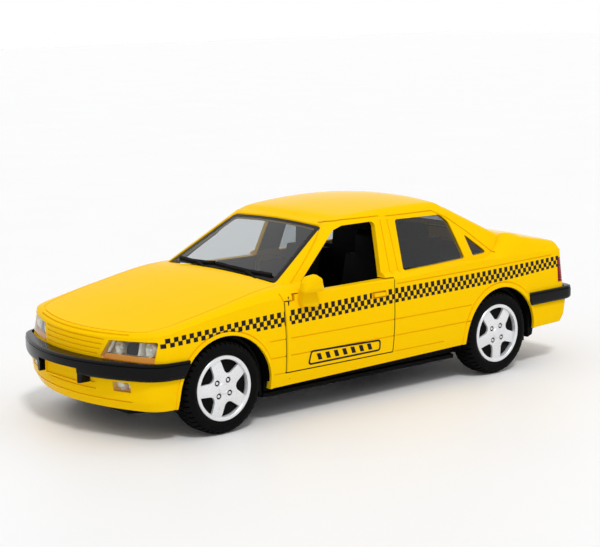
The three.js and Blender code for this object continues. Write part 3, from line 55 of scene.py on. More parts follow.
BELT_Z, CABIN_FOOT_Z = 37.0, 33.0
FAR = 110.0


def straight(points):
    """Straight lines through (position, value) points."""
    at, values = np.array(sorted(points), float).T
    return lambda where: np.interp(where, at, values)


def smooth(points):
    """Smooth curve through (position, value) points."""
    at, values = np.array(sorted(points), float).T
    count = len(at)
    before = np.maximum(np.arange(count) - 1, 0)
    after = np.minimum(np.arange(count) + 1, count - 1)
    slope = (values[after] - values[before]) / (at[after] - at[before])

    def value(where):
        where = np.clip(np.asarray(where, float), at[0], at[-1])
        i = np.clip(np.searchsorted(at, where) - 1, 0, count - 2)
        span = at[i + 1] - at[i]
        t = (where - at[i]) / span
        bend = span * t * (1 - t) * (slope[i] * (1 - t) - slope[i + 1] * t)
        return values[i] + (values[i + 1] - values[i]) * t * t * (3 - 2 * t) + bend

    return value


TUMBLEHOME = 6.3 / 17.3


def quarter_sweep(x, y, deck):
    """How far the rear quarter sweeps up from the deck to meet the cabin's side."""
    gap = BELT_Z + (32.2 - np.abs(y)) / TUMBLEHOME - deck
    reach = np.interp(x, (-70, -60, -55, -50, -14, -8), (0.0, 3.4, 2.6, 1.0, 1.0, 0.0))
    return (np.hypot(gap, reach) - np.abs(gap)) / 2


LOWER = {
    "front": straight([(9.2, 86.6), (12.2, 88), (18.6, 88.6), (18.9, 87.2), (23.6, 87.2), (30.4, 86)]),
    "rear": straight([(13, -87.8), (15, -89), (20.1, -89.6), (20.4, -88.2), (25, -88.2), (37, -87.4)]),
    "half_width": smooth([(9.2, 34.1), (14.5, 35.2), (23.6, 35.6), (37, 34.8)]),
    "rim": smooth([(86.2, 29.2), (57.6, 34.4), (34.6, 36.7), (-8.2, 36.6), (-43, 37.8), (-86.6, 37.4)]),
    "spine": smooth([(86.2, 30.4), (76.6, 32.6), (57.6, 36.8), (34.6, 40.6), (-8.2, 40.4), (-43, 39.6),
                     (-52.5, 39.6), (-56.5, 41.4), (-60.9, 44.8), (-75.6, 42.7), (-86.6, 40.6)]),
    "crown": smooth([(88.6, 1), (34.6, 1.6), (-43, 2.2), (-63.5, 1.2), (-89.6, 1.2)]),
    "bow": (8.2, 1.2), "corner": (4.5, 2.6), "reach": (1.8, 3.2, 3), "tuck": 1.6, "lean": (1, 1, 1),
    "sweep": quarter_sweep,
    "levels": [10, 10.8, 11.5, 12.2, 13, 14, 15, 16, 17, 18, 18.6, 18.9, 19.6, 20.1, 20.4, 21, 22, 23, 23.6,
               24.3, 25],
}
SCREEN_SLOPE = (COWL_X - HEADER_X) / 15.5
REAR_SLOPE = (REAR_HEADER_X - REAR_SCREEN_X) / 10.5
CABIN = {
    "front": lambda z: COWL_X - SCREEN_SLOPE * (np.asarray(z, float) - 39.5),
    "rear": lambda z: REAR_SCREEN_X + REAR_SLOPE * (np.asarray(z, float) - 44.5),
    "half_width": lambda z: 32.2 - TUMBLEHOME * (np.asarray(z, float) - BELT_Z),
    "rim": smooth([(9.2, 55), (4.2, 54.3), (-38, 54.3), (-43, 55)]),
    "spine": smooth([(9.2, 56), (0.2, 57.3), (-16.9, 58.29), (-33, 58.09), (-43, 57)]),
    "crown": lambda x: np.full_like(np.asarray(x, float), 1.4),
    "bow": (1.6, 2.4), "corner": (5, 3.4), "reach": (4.5, 3, 5), "tuck": 1.4,
    "lean": (math.hypot(1, SCREEN_SLOPE), math.hypot(1, TUMBLEHOME), math.hypot(1, REAR_SLOPE)),
    "sweep": lambda x, y, z: 0,
    "levels": [],
}
FRONT_STEPS, CORNER_STEPS, SIDE_STEPS, REAR_STEPS = 20, 12, 90, 16
PART_STEPS = (FRONT_STEPS, CORNER_STEPS, SIDE_STEPS, CORNER_STEPS, REAR_STEPS)
STATION = np.array([(part, step / steps) for part, steps in enumerate(PART_STEPS) for step in range(steps)]
                   + [(4, 1.0)])
RIM_SHARES = [0.004, 0.008, 0.013, 0.019, 0.026, 0.034, 0.043, 0.053, 0.065, 0.08, 0.1, 0.13, 0.17, 0.22, 0.28,
              0.35, 0.43, 0.52, 0.62, 0.72, 0.82, 0.92, 1]


def plan(form, z, inset=0.0):
    """Left half of the plan outline, nose to tail, with each station at its own height z."""
    part, t = STATION.T
    z = np.broadcast_to(np.asarray(z, float), t.shape)
    side = form["half_width"](z) - inset * form["lean"][1]
    turn = side - form["tuck"]
    ends = []
    for tip, bow, corner, way in (
        (form["front"](z) - inset * form["lean"][0], form["bow"][0], form["corner"][0], 1),
        (form["rear"](z) + inset * form["lean"][2], form["bow"][1], form["corner"][1], -1),
    ):
        y = turn - corner
        x = tip - way * bow * (y / turn) ** 2
        lead = x - way * 2 * bow * y * corner / turn**2
        ends.append((tip, x, y, lead, lead - way * corner, corner))
    (tip_f, x_f, y_f, lead_f, next_f, corner_f), (tip_r, x_r, y_r, lead_r, next_r, corner_r) = ends
    start = turn + 0.3
    bulge = side + (side - start) / 3
    half_side = (next_f - next_r) / 2
    handle_f = np.minimum((bulge - start) * corner_f / 0.3, half_side)
    handle_r = np.minimum((bulge - start) * corner_r / 0.3, half_side)
    bend2 = lambda a, b, c: a * (1 - t) ** 2 + 2 * b * t * (1 - t) + c * t * t
    bend3 = lambda a, b, c, d: a * (1 - t) ** 3 + 3 * b * t * (1 - t) ** 2 + 3 * c * t * t * (1 - t) + d * t**3
    pieces = [part == i for i in range(5)]
    x = np.select(pieces, [bend2(tip_f, tip_f, x_f), bend2(x_f, lead_f, next_f),
                           bend3(next_f, next_f - handle_f, next_r + handle_r, next_r),
                           bend2(next_r, lead_r, x_r), bend2(x_r, tip_r, tip_r)])
    y = np.select(pieces, [bend2(0 * y_f, y_f / 2, y_f), bend2(y_f, turn, start),
                           bend3(start, bulge, bulge, start), bend2(start, turn, y_r),
                           bend2(y_r, y_r / 2, 0 * y_r)])
    return x, y


def new_mesh(points, faces):
    """Closed mesh with doubled corners merged and faces outwards."""
    mesh = bpy.data.meshes.new("solid")
    mesh.from_pydata([tuple(map(float, p)) for p in points], [], faces)
    shape = bmesh.new()
    shape.from_mesh(mesh)
    bmesh.ops.remove_doubles(shape, verts=shape.verts, dist=1e-5)
    bmesh.ops.recalc_face_normals(shape, faces=shape.faces)
    shape.to_mesh(mesh)
    shape.free()
    return mesh


def bands(rings, around):
    """Faces between neighbouring closed rings, each of a number of points."""
    return [(r * around + i, r * around + (i + 1) % around, (r + 1) * around + (i + 1) % around,
             (r + 1) * around + i) for r in range(rings - 1) for i in range(around)]


def stacked(rings):
    """Solid from left-half rings, nose to tail, from the bottom up; the last may lie on the middle plane."""
    whole = [np.vstack([half, (half[1:-1] * (1, -1, 1))[::-1]]) for half in rings]
    around = len(whole[0])
    faces = bands(len(whole), around)
    faces.append(tuple(range(around))[::-1])
    if np.abs(whole[-1][:, 1]).max() > 1e-6:
        faces.append(tuple(range((len(whole) - 1) * around, len(whole) * around)))
    return new_mesh(np.vstack(whole), faces)


def dome(form, inset, bottom):
    """Domed solid of a form, inset from its outside, from the height bottom(x) up."""
    rim_z = lambda x: form["rim"](x) - inset
    x0, _ = plan(form, rim_z(0.0), inset)
    rim_x, rim_y = plan(form, rim_z(x0), inset)
    third = CORNER_STEPS // 3
    last = len(rim_x) - 1
    side = slice(FRONT_STEPS, last - REAR_STEPS + 1)
    side_y = straight(zip(rim_x[side], rim_y[side]))
    front_x = straight(zip(rim_y[: FRONT_STEPS + third + 1], rim_x[: FRONT_STEPS + third + 1]))
    rear_x = straight(zip(rim_y[last - REAR_STEPS - third:], rim_x[last - REAR_STEPS - third:]))
    width = form["half_width"](rim_z(0.0))
    reach = form["reach"]

    def top(x, y):
        crowned = form["spine"](x) - form["crown"](x) * (y / width) ** 2 - inset
        falls = [np.clip(1 - d, 0, 1) for d in ((front_x(y) - x) / reach[0], (side_y(x) - y) / reach[1],
                                               (x - rear_x(y)) / reach[2])]
        fall = np.minimum(sum(f**5 for f in falls) ** 0.2, 1)
        deck = crowned - (crowned - rim_z(x)) * fall**2
        return deck + form["sweep"](x, y, deck + inset) * (1 - fall)

    foot = bottom(rim_x)
    heights = [foot]
    for count, level in enumerate(form["levels"]):
        heights.append(np.maximum(level - max(inset, 0) * 0.5, foot + 0.02 * (count + 1)))
    steps = 14
    base = heights[-1]
    heights += [base + (rim_z(rim_x) - base) * step / steps for step in range(1, steps + 1)]
    rings = [np.column_stack([*plan(form, z, inset), z]) for z in heights]
    middle = (rim_x[0] + rim_x[-1]) / 2
    for share in RIM_SHARES:
        x = rim_x + (middle + (rim_x - middle) * 0.97 - rim_x) * share
        y = rim_y * (1 - share)
        rings.append(np.column_stack([x, y, top(x, y)]))
    return stacked(rings)


def sill(x):
    return np.interp(x, (TAIL_X, NOSE_X), (13.0, 9.2))


@functools.cache
def lower_body(inset):
    return dome(LOWER, inset, sill if inset <= 0 else lambda x: np.zeros_like(x))


@functools.cache
def cabin(inset):
    return dome(CABIN, inset, lambda x: np.full_like(x, CABIN_FOOT_Z - inset))


def combine(how, base, *tools):
    """Joins (UNION), cuts (DIFFERENCE) or keeps the overlap (INTERSECT) of closed meshes."""
    for tool in tools:
        carrier = bpy.data.objects.new("carrier", base)
        cutter = bpy.data.objects.new("cutter", tool)
        bpy.context.scene.collection.objects.link(carrier)
        bpy.context.scene.collection.objects.link(cutter)
        step = carrier.modifiers.new("step", "BOOLEAN")
        step.operation, step.solver, step.object = how, "MANIFOLD", cutter
        bpy.context.view_layer.update()
        base = bpy.data.meshes.new_from_object(carrier.evaluated_get(bpy.context.evaluated_depsgraph_get()))
        bpy.data.objects.remove(carrier)
        bpy.data.objects.remove(cutter)
    return base


join, cut, meet = (functools.partial(combine, how) for how in ("UNION", "DIFFERENCE", "INTERSECT"))


def layer(outer, inner, form=lower_body):
    """What lies between two insets of a form, such as its skin."""
    return cut(form(outer), form(inner))


def lofted(rings):
    """Solid through closed rings of the same number of points."""
    count = len(rings[0])
    faces = bands(len(rings), count)
    faces += [tuple(range(count)), tuple(range((len(rings) - 1) * count, len(rings) * count))]
    return new_mesh(np.vstack(rings), faces)


AXES = {"x": (1, 2, 0), "y": (0, 2, 1), "z": (0, 1, 2)}


def prism(outline, axis, start, end):
    """Outline drawn out along an axis: "x" takes (y, z) points, "y" (x, z) and "z" (x, y)."""
    flat = np.array(outline, float)
    u, v, w = AXES[axis]
    rings = np.zeros((2, len(flat), 3))
    rings[:, :, u], rings[:, :, v] = flat[:, 0], flat[:, 1]
    rings[0, :, w], rings[1, :, w] = start, end
    return lofted(rings)


SIDE_IN, SIDE_OUT = 16.9, 71.2


def side_cut(outline):
    """Outline of (x, z) points drawn out through the left side of the car."""
    return prism(outline, "y", SIDE_IN, SIDE_OUT)


def block(x, y, z):
    return prism([(x[0], y[0]), (x[1], y[0]), (x[1], y[1]), (x[0], y[1])], "z", *z)


def rod(radius, axis, at, start, end, steps=32):
    angles = np.arange(steps) * 2 * math.pi / steps
    circle = np.column_stack([at[0] + radius * np.cos(angles), at[1] + radius * np.sin(angles)])
    return prism(circle, axis, start, end)


def rounded(outline, radius, steps=8):
    """Outline with its corners rounded, by one radius or one for each corner."""
    points = np.array(outline, float)
    count = len(points)
    radii = np.broadcast_to(radius, count)
    result = []
    for i, corner in enumerate(points):
        back = points[i - 1] - corner
        ahead = points[(i + 1) % count] - corner
        reach_back, reach_ahead = np.linalg.norm(back), np.linalg.norm(ahead)
        back, ahead = back / reach_back, ahead / reach_ahead
        half = math.acos(np.clip(back @ ahead, -1, 1)) / 2
        setback = min(radii[i] / math.tan(half), 0.48 * reach_back, 0.48 * reach_ahead)
        for t in np.linspace(0, 1, steps + 1) if setback > 1e-6 else [0]:
            bend = (corner + back * setback) * (1 - t) ** 2 + corner * 2 * t * (1 - t)
            result.append(bend + (corner + ahead * setback) * t * t)
    return np.array(result)


def ribbon(path, width):
    """Outline of a band of even width along a path."""
    points = np.array(path, float)
    ahead = np.gradient(points, axis=0)
    ahead /= np.linalg.norm(ahead, axis=1)[:, None]
    across = np.column_stack([-ahead[:, 1], ahead[:, 0]]) * width / 2
    return np.vstack([points + across, (points - across)[::-1]])


def groove(surface, path, width):
    """Cutter for a line along a path on the left side, as deep as a surface layer."""
    return meet(surface, side_cut(ribbon(path, width)))


def mirrored(mesh):
    """Copy on the other side of the car."""
    copy = mesh.copy()
    copy.transform(Matrix.Scale(-1, 4, (0, 1, 0)))
    copy.flip_normals()
    return copy


def gathered(*meshes):
    """One mesh of several that don't touch."""
    shape = bmesh.new()
    for mesh in meshes:
        shape.from_mesh(mesh)
    whole = bpy.data.meshes.new("solid")
    shape.to_mesh(whole)
    shape.free()
    return whole


def both(mesh):
    return gathered(mesh, mirrored(mesh))


def linear(code):
    """sRGB hex code as linear RGBA."""
    values = [int(code[i:i + 2], 16) / 255 for i in (1, 3, 5)]
    return tuple(v / 12.92 if v <= 0.04045 else ((v + 0.055) / 1.055) ** 2.4 for v in values) + (1.0,)


def add_node(tree, kind, settings=None, links=None):
    """Adds a node; settings are properties or input values, links feed its inputs from other sockets."""
    node = tree.nodes.new(kind)
    for name, value in (settings or {}).items():
        if isinstance(name, str) and name in node.bl_rna.properties:
            setattr(node, name, value)
        else:
            node.inputs[name].default_value = value
    for name, source in (links or {}).items():
        tree.links.new(source, node.inputs[name])
    return node


def moulding(name, colours, blotch, roughness, grain, depth, sockets=None):
    """Moulded surface: two close colours in soft blotches, and a grain that varies gloss and height.
    blotch and grain are feature sizes in mm, depth is the grain's height in mm."""
    material = bpy.data.materials.new(name)
    material.use_nodes = True
    tree = material.node_tree
    shader = tree.nodes["Principled BSDF"]
    here = add_node(tree, "ShaderNodeTexCoord").outputs["Object"]
    soft = add_node(tree, "ShaderNodeTexNoise", {"Scale": 1000 / blotch, "Detail": 2.0}, {"Vector": here})
    fine = add_node(tree, "ShaderNodeTexNoise", {"Scale": 1000 / grain, "Detail": 3.0}, {"Vector": here})
    tone = add_node(tree, "ShaderNodeMix", {"data_type": "RGBA"}, {0: soft.outputs["Fac"]})
    tone.inputs[6].default_value, tone.inputs[7].default_value = linear(colours[0]), linear(colours[1])
    tree.links.new(tone.outputs[2], shader.inputs["Base Color"])
    gloss = add_node(tree, "ShaderNodeMapRange", {"To Min": roughness[0], "To Max": roughness[1]},
                     {"Value": fine.outputs["Fac"]})
    tree.links.new(gloss.outputs["Result"], shader.inputs["Roughness"])
    bump = add_node(tree, "ShaderNodeBump", {"Strength": 1.0, "Distance": depth / 1000},
                    {"Height": fine.outputs["Fac"]})
    tree.links.new(bump.outputs["Normal"], shader.inputs["Normal"])
    for socket, value in (sockets or {}).items():
        shader.inputs[socket].default_value = value
    return material


def place(name, mesh, material, body, replaces=(), crease=32):
    """Turns a copy of a finished mesh to metres, gives it its finish and hands it to the frame."""
    mesh = mesh.copy()
    mesh.transform(Matrix.Scale(0.001, 4))
    mesh.shade_smooth()
    mesh.set_sharp_from_angle(angle=math.radians(crease))
    mesh.materials.clear()
    mesh.materials.append(material)
    mesh.polygons.foreach_set("material_index", np.zeros(len(mesh.polygons), np.int32))
    piece = bpy.data.objects.new(name, mesh)
    bpy.context.scene.collection.objects.link(piece)
    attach(piece, body)
    if replaces:
        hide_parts(*replaces)


def math_of(tree, operation, *terms):
    """Result of a Math node whose terms are sockets or plain numbers."""
    plain = {i: term for i, term in enumerate(terms) if isinstance(term, float)}
    fed = {i: term for i, term in enumerate(terms) if not isinstance(term, float)}
    return add_node(tree, "ShaderNodeMath", {"operation": operation, **plain}, fed).outputs[0]


def socketed_tree(name, inputs):
    """New Geometry Nodes tree with named inputs, and the sockets that those inputs feed."""
    tree = bpy.data.node_groups.new(name, "GeometryNodeTree")
    tree.interface.new_socket("Geometry", in_out="OUTPUT", socket_type="NodeSocketGeometry")
    for socket, kind in inputs.items():
        tree.interface.new_socket(socket, in_out="INPUT", socket_type=f"NodeSocket{kind}")
    return tree, add_node(tree, "NodeGroupInput").outputs


def blocks_out(tree, given, **points):
    """Sets a block on each point, makes the copies real, gives them their material and ends the tree."""
    cube = add_node(tree, "GeometryNodeMeshCube", links={"Size": given["Block"]})
    placed = add_node(tree, "GeometryNodeInstanceOnPoints", links={"Instance": cube.outputs["Mesh"], **points})
    real = add_node(tree, "GeometryNodeRealizeInstances", links={"Geometry": placed.outputs[0]})
    coloured = add_node(tree, "GeometryNodeSetMaterial",
                        links={"Geometry": real.outputs[0], "Material": given["Material"]})
    add_node(tree, "NodeGroupOutput", links={"Geometry": coloured.outputs[0]})
    return tree


def grid_tree():
    """Geometry Nodes tree that sets blocks on a grid, all of them or every other one like a chequer."""
    tree, given = socketed_tree("blocks_on_a_grid", {
        "Columns": "Int", "Rows": "Int", "Column Pitch": "Float", "Row Pitch": "Float", "Block": "Vector",
        "Chequer": "Bool", "Material": "Material"})
    spans = [math_of(tree, "MULTIPLY", math_of(tree, "SUBTRACT", given[count], 1.0), given[pitch])
             for count, pitch in (("Columns", "Column Pitch"), ("Rows", "Row Pitch"))]
    grid = add_node(tree, "GeometryNodeMeshGrid", links={
        "Size X": spans[0], "Size Y": spans[1], "Vertices X": given["Columns"], "Vertices Y": given["Rows"]})
    index = add_node(tree, "GeometryNodeInputIndex").outputs[0]
    row = math_of(tree, "MODULO", index, given["Rows"])
    column = math_of(tree, "FLOOR", math_of(tree, "DIVIDE", index, given["Rows"]))
    odd = math_of(tree, "GREATER_THAN", math_of(tree, "MODULO", math_of(tree, "ADD", row, column), 2.0), 0.5)
    kept = math_of(tree, "LESS_THAN", math_of(tree, "MULTIPLY", odd, given["Chequer"]), 0.5)
    return blocks_out(tree, given, Points=grid.outputs["Mesh"], Selection=kept)


def grown_from(tree, inputs):
    """Plain mesh that a Geometry Nodes tree makes from its named inputs."""
    carrier = bpy.data.objects.new("carrier", bpy.data.meshes.new("start"))
    bpy.context.scene.collection.objects.link(carrier)
    step = carrier.modifiers.new("step", "NODES")
    step.node_group = tree
    for item in tree.interface.items_tree:
        if item.in_out == "INPUT" and item.name in inputs:
            step[item.identifier] = inputs[item.name]
    bpy.context.view_layer.update()
    mesh = bpy.data.meshes.new_from_object(carrier.evaluated_get(bpy.context.evaluated_depsgraph_get()))
    bpy.data.objects.remove(carrier)
    return mesh


# glossy ABS: one even yellow, with a faint soft sheen on the edges
abs_yellow = moulding("moulded_abs_yellow", ("#FFCE04", "#FFCA06"), 30, (0.13, 0.19), 0.9, 0.004, {"IOR": 1.05})
block_rows = grid_tree()


def block_grid(columns, rows, pitches, size, material, chequer=False):
    """Blocks on a grid of columns and rows."""
    return grown_from(block_rows, {
        "Columns": columns, "Rows": rows, "Column Pitch": pitches[0], "Row Pitch": pitches[1], "Block": size,
        "Chequer": chequer, "Material": material})


lower_out = lower_body(0)
outside = join(lower_out, cabin(0))
skin = layer(-1.2, 0.28)
shell = cut(outside, join(lower_body(WALL), cabin(WALL)))

FRONT_WINDOW = rounded([(28, 37.4), (8.2, 52.6), (4.5, 53.7), (-8.3, 53.9), (-5.4, 37.4)], [0.3, 3, 3, 1.6, 0.3])
REAR_WINDOW = rounded([(-14.9, 38), (-16.5, 53.6), (-36.3, 53.2), (-39.2, 50.8), (-42.2, 39)],
                      [0.7, 0.9, 3.2, 3.2, 0.7])
QUARTER_LIGHT = rounded([(-46, 39.3), (-44.4, 46.4), (-53, 39.6)], [0.6, 0.5, 0.9])
WINDSCREEN = [(33, -27.6), (33, 27.6), (9.8, 21.8), (9.8, -21.8)]
REAR_SCREEN = [(-59.5, -24.1), (-59.5, 24.1), (-44.6, 20.5), (-44.6, -20.5)]
DOORWAY = [(35.15, 14.1), (-7.3, 14.1), (-8.6, 37.4), (32.05, 37.4), (32.05, 35.6), (35.15, 35.6)]
HEADLAMP = [(14.0, 23.1), (32.2, 23.1), (32.4, 29.3), (17.1, 28.7)]
FOG_LAMP = [(20.1, 14.8), (26.1, 14.8), (26.1, 17.6), (20.1, 17.6)]
TAIL_LAMP = [(16, 26.6), (37.6, 26.6), (37.6, 34.8), (16, 34.8)]
ARCH_Z, ARCH_RADIUS, LIP_PROUD = 12.5648, 15.9, 0.32
ARCHES = [(FRONT_AXLE_X - 1.2, ARCH_Z, 16.9, (0.5, 2.75)), (REAR_AXLE_X - 1.6, ARCH_Z, 17.3, (0.35, 2.4))]
ARCH_IN_Y, LAMP_FROM_X, LAMP_TO_X, TAIL_LAMP_X, ROOF_CLEAR_Z = 25.9, 74.3, 97, -83.1, 63.3
SCREEN_ROUND, REAR_SCREEN_ROUND = 1.4, 2.2
UPPER_LINE_Z, LOWER_LINE_Z = 24.5, 19.4

lips = layer(-LIP_PROUD, 0.5)
for x, z, lip_radius, _ in ARCHES:
    ring = cut(rod(lip_radius, "y", (x, z), SIDE_IN, SIDE_OUT, 96),
               rod(ARCH_RADIUS - 0.5, "y", (x, z), 0, FAR, 96))
    lip = meet(lips, ring)
    shell = join(shell, lip, mirrored(lip))
for outline in (DOORWAY, FRONT_WINDOW, REAR_WINDOW, QUARTER_LIGHT):
    shell = cut(shell, both(side_cut(outline)))
for outline, radius in ((WINDSCREEN, SCREEN_ROUND), (REAR_SCREEN, REAR_SCREEN_ROUND)):
    shell = cut(shell, prism(rounded(outline, radius), "z", BELT_Z, ROOF_CLEAR_Z))
for x, z, lip_radius, ends in ARCHES:
    arch = [(x - ARCH_RADIUS - 1, -1), (x + ARCH_RADIUS + 1, -1), (x + ARCH_RADIUS, z)]
    arch += [(x + ARCH_RADIUS * math.cos(a), z + ARCH_RADIUS * math.sin(a))
             for a in np.linspace(0, math.pi, 49)[1:]]
    shell = cut(shell, both(prism(arch, "y", ARCH_IN_Y, SIDE_OUT)))
    around = lip_radius + 0.15
    round_lip = [(x + around * math.cos(a), z + around * math.sin(a)) for a in np.linspace(*ends, 40)]
    line = groove(skin, round_lip, 0.3)
    shell = cut(shell, line, mirrored(line))
shell = cut(shell, both(prism(rounded(HEADLAMP, 0.7), "x", LAMP_FROM_X, LAMP_TO_X)),
            both(prism(rounded(FOG_LAMP, 0.3), "x", LAMP_FROM_X, LAMP_TO_X)),
            both(prism(rounded(TAIL_LAMP, 0.5), "x", -LAMP_TO_X, TAIL_LAMP_X)))
for x0, x1, z0, z1 in ((32.05, 36.75, 35.6, 38), (32.05, 35.15, 11.7, 14.1)):
    lug = meet(block((x0, x1), (30.95, 35.6), (z0, z1)), outside)
    shell = join(shell, lug, mirrored(lug))

# panel lines on the sides
SIDE_LINES = [
    ([(41, UPPER_LINE_Z), (35.15, UPPER_LINE_Z)], 0.34), ([(41, LOWER_LINE_Z), (35.15, LOWER_LINE_Z)], 0.34),
    ([(-8, UPPER_LINE_Z), (-41, UPPER_LINE_Z)], 0.34), ([(-8, LOWER_LINE_Z), (-40.6, LOWER_LINE_Z)], 0.34),
    ([(39.5, 14.4), (35.15, 14.4)], 0.3), ([(-8, 14.4), (-29, 14.4)], 0.3),
    ([(-9, 35.3), (-45, 35.6), (-80, 36.1)], 0.3),
    ([(35.3, 35.4), (36.2, 37.8)], 0.3),
]
CABIN_LINES = [
    ([(-9.3, 38), (-10.6, 54)], 0.3), ([(-12.7, 38), (-13.4, 54)], 0.3),
    ([(-13.3, 54.9), (-33, 54.7), (-39, 52), (-46, 47), (-56, 38.8)], 0.3),
    ([(30.6, 38.2), (8.6, 54.6), (3.6, 55.2), (-10.6, 55.2)], 0.3),
]
for surface, lines in ((skin, SIDE_LINES), (layer(-1.2, 0.28, cabin), CABIN_LINES)):
    for path, width in lines:
        line = groove(surface, path, width)
        shell = cut(shell, line, mirrored(line))

# bonnet and boot shut lines, seen in plan
nose_x, nose_y = plan(LOWER, 30.0)
BONNET_EDGE = [(34.0, 29.4), (48, 30.4), (62, 30.6), (72, 29.8), (78, 27.6)]
nose = [(x, y) for x, y in zip(nose_x[:FRONT_STEPS + 1][::-2], nose_y[:FRONT_STEPS + 1][::-2]) if y < 26]
bonnet_half = np.array(BONNET_EDGE + [(x - 1.7, y) for x, y in nose])
lip_half = np.array([(x - 0.6, y) for x, y in nose])
BOOT_EDGE = [(-62, 25.6), (-74, 26.6), (-84.2, 27.4)]
for path in (*[np.vstack([half, (half * (1, -1))[-2::-1]]) for half in (bonnet_half, lip_half)],
             np.array(BOOT_EDGE), np.array(BOOT_EDGE) * (1, -1)):
    line = meet(skin, prism(ribbon(path, 0.34), "z", 27, 50))
    shell = cut(shell, line)

# grille: slots between slats of body colour
SLOT_PITCH, SLOT_HEIGHT, SLOTS = 1.4, 0.38, 4
FACING_X = Matrix(((0, 0, 1, 0), (1, 0, 0, 0), (0, 1, 0, 0), (0, 0, 0, 1)))
slots = block_grid(1, SLOTS, (1.0, SLOT_PITCH), (40.0, SLOT_HEIGHT, 20.0), abs_yellow)
slots.transform(Matrix.Translation((84, 0, 26.55)) @ FACING_X)
GRILLE = [(-13.2, 24.0), (13.2, 24.0), (15.4, 29.0), (-15.4, 29.0)]
slots = meet(slots, prism(rounded(GRILLE, 0.4), "x", 70, 95), layer(-1.2, 0.36))
shell = cut(shell, slots)

# valances: a lip and two short slots below the front strip, two creases across the rear
VALANCE_LINES = [(70, 95, 12.1, 26, 0.4), (70, 95, 14.9, 13.6, 0.85), (70, 95, 16.8, 13.6, 0.85),
                 (-95, -80, 15.2, 33.5, 0.4), (-95, -80, 26.2, 15.6, 0.4)]
for x0, x1, height, half, width in VALANCE_LINES:
    slot = block((x0, x1), (-half, half), (height - width / 2, height + width / 2))
    shell = cut(shell, meet(skin, slot))
place("body_shell_moulding", shell, abs_yellow, "car_body", ("body_shell",))

# Door gap shade and arch liners: strips of satin black plastic pressed in from inside, the gap strips into the
# gaps round each door and the liners into the wheel arches, just below the skin. The gap strips are painted shade
# that makes the gaps round the doors look dark; the liners line the wheel arches so that they look dark.
LINER_FOOT_Z, LINER_IN_Y = 12.6, 26.5
# satin ABS: black with a fine dull grain, so edges show but nothing mirrors
abs_satin = moulding("moulded_abs_black_satin", ("#080808", "#0E0E10"), 12, (0.42, 0.58), 0.35, 0.012,
                     {"IOR": 1.12})

gap_shade = gathered(side_cut([(35.12, 14.13), (-7.27, 14.13), (-7.25, 14.42), (35.12, 14.42)]),
                side_cut([(-7.02, 14.5), (-8.24, 36.6), (-8.54, 36.6), (-7.32, 14.5)]),
                side_cut([(34.83, 14.5), (35.12, 14.5), (35.12, 35.2), (34.83, 35.2)]))
gap_shade = meet(layer(0.16, 1.55), gap_shade)
# black strips round each doorway: painted shade in the door gaps
place("doorway_seals", both(gap_shade), abs_satin, "car_body")
liners = []
for x, z, *_ in ARCHES:
    liner = cut(rod(ARCH_RADIUS + 0.1, "y", (x, z), LINER_IN_Y, SIDE_OUT, 96),
                rod(ARCH_RADIUS - 0.3, "y", (x, z), 0, FAR, 96))
    liner = meet(liner, block((-99, 99), (20, 80), (LINER_FOOT_Z, 60)))
    liners.append(meet(lower_body(0.55), liner))
place("wheel_arch_liners", both(gathered(*liners)), abs_satin, "car_body")

# Front doors: yellow ABS panels of the same wall, each with a knuckle at its front edge for the hinge pin.
# The handle is a grip in a pocket, and the left door carries the one mirror, moulded on with a foiled glass.
DOOR_PANEL = [(33.4, 14.5), (-6.9, 14.5), (-8.2, 37), (31.1, 37), (31.1, 35.2), (33.4, 35.2)]
HANDLE = rounded([(-4.7, 31.8), (1.3, 31.8), (1.3, 33.9), (-4.7, 33.9)], 0.6)
GRIP = rounded([(-4.4, 32.25), (0.1, 32.25), (0.1, 33.35), (-4.4, 33.35)], 0.45)
HINGE = (33.4, 34.15)


def softened(mesh, width, segments=3, angle=30):
    """Mesh with the edges sharper than an angle rounded off."""
    shape = bmesh.new()
    shape.from_mesh(mesh)
    bmesh.ops.dissolve_limit(shape, angle_limit=math.radians(1), verts=shape.verts, edges=shape.edges)
    edges = [e for e in shape.edges if e.is_manifold and e.calc_face_angle(0) > math.radians(angle)]
    bmesh.ops.bevel(shape, geom=edges, offset=width, segments=segments, profile=0.5, affect="EDGES",
                    clamp_overlap=True)
    result = bpy.data.meshes.new("solid")
    shape.to_mesh(result)
    shape.free()
    return result


# vacuum plating: a thin bright mirror
chrome = moulding("vacuum_plated_chrome", ("#E9EAEC", "#D9DBDE"), 6, (0.08, 0.14), 0.5, 0.001, {"Metallic": 1.0})

panel = meet(layer(0, WALL), side_cut(DOOR_PANEL))
panel = join(panel, meet(rod(1.35, "z", HINGE, 14.5, 35.2), lower_out))
panel = cut(panel, rod(0.62, "z", HINGE, 10, 40))
for height in (UPPER_LINE_Z, LOWER_LINE_Z):
    panel = cut(panel, groove(skin, [(33.2, height), (-9, height)], 0.34))
panel = cut(panel, meet(layer(-1.2, 0.9), side_cut(HANDLE)))
panel = join(panel, meet(layer(-0.14, 1.3), side_cut(GRIP)))
trim = cut(side_cut(rounded([(28, 17.6), (-3, 17.6), (-4.4, 29.6), (28, 29.6)], 2)),
           side_cut(rounded([(27, 18.6), (-2, 18.6), (-3.4, 28.6), (27, 28.6)], 1.6)))
panel = cut(panel, meet(layer(1.25, 2.6), trim))

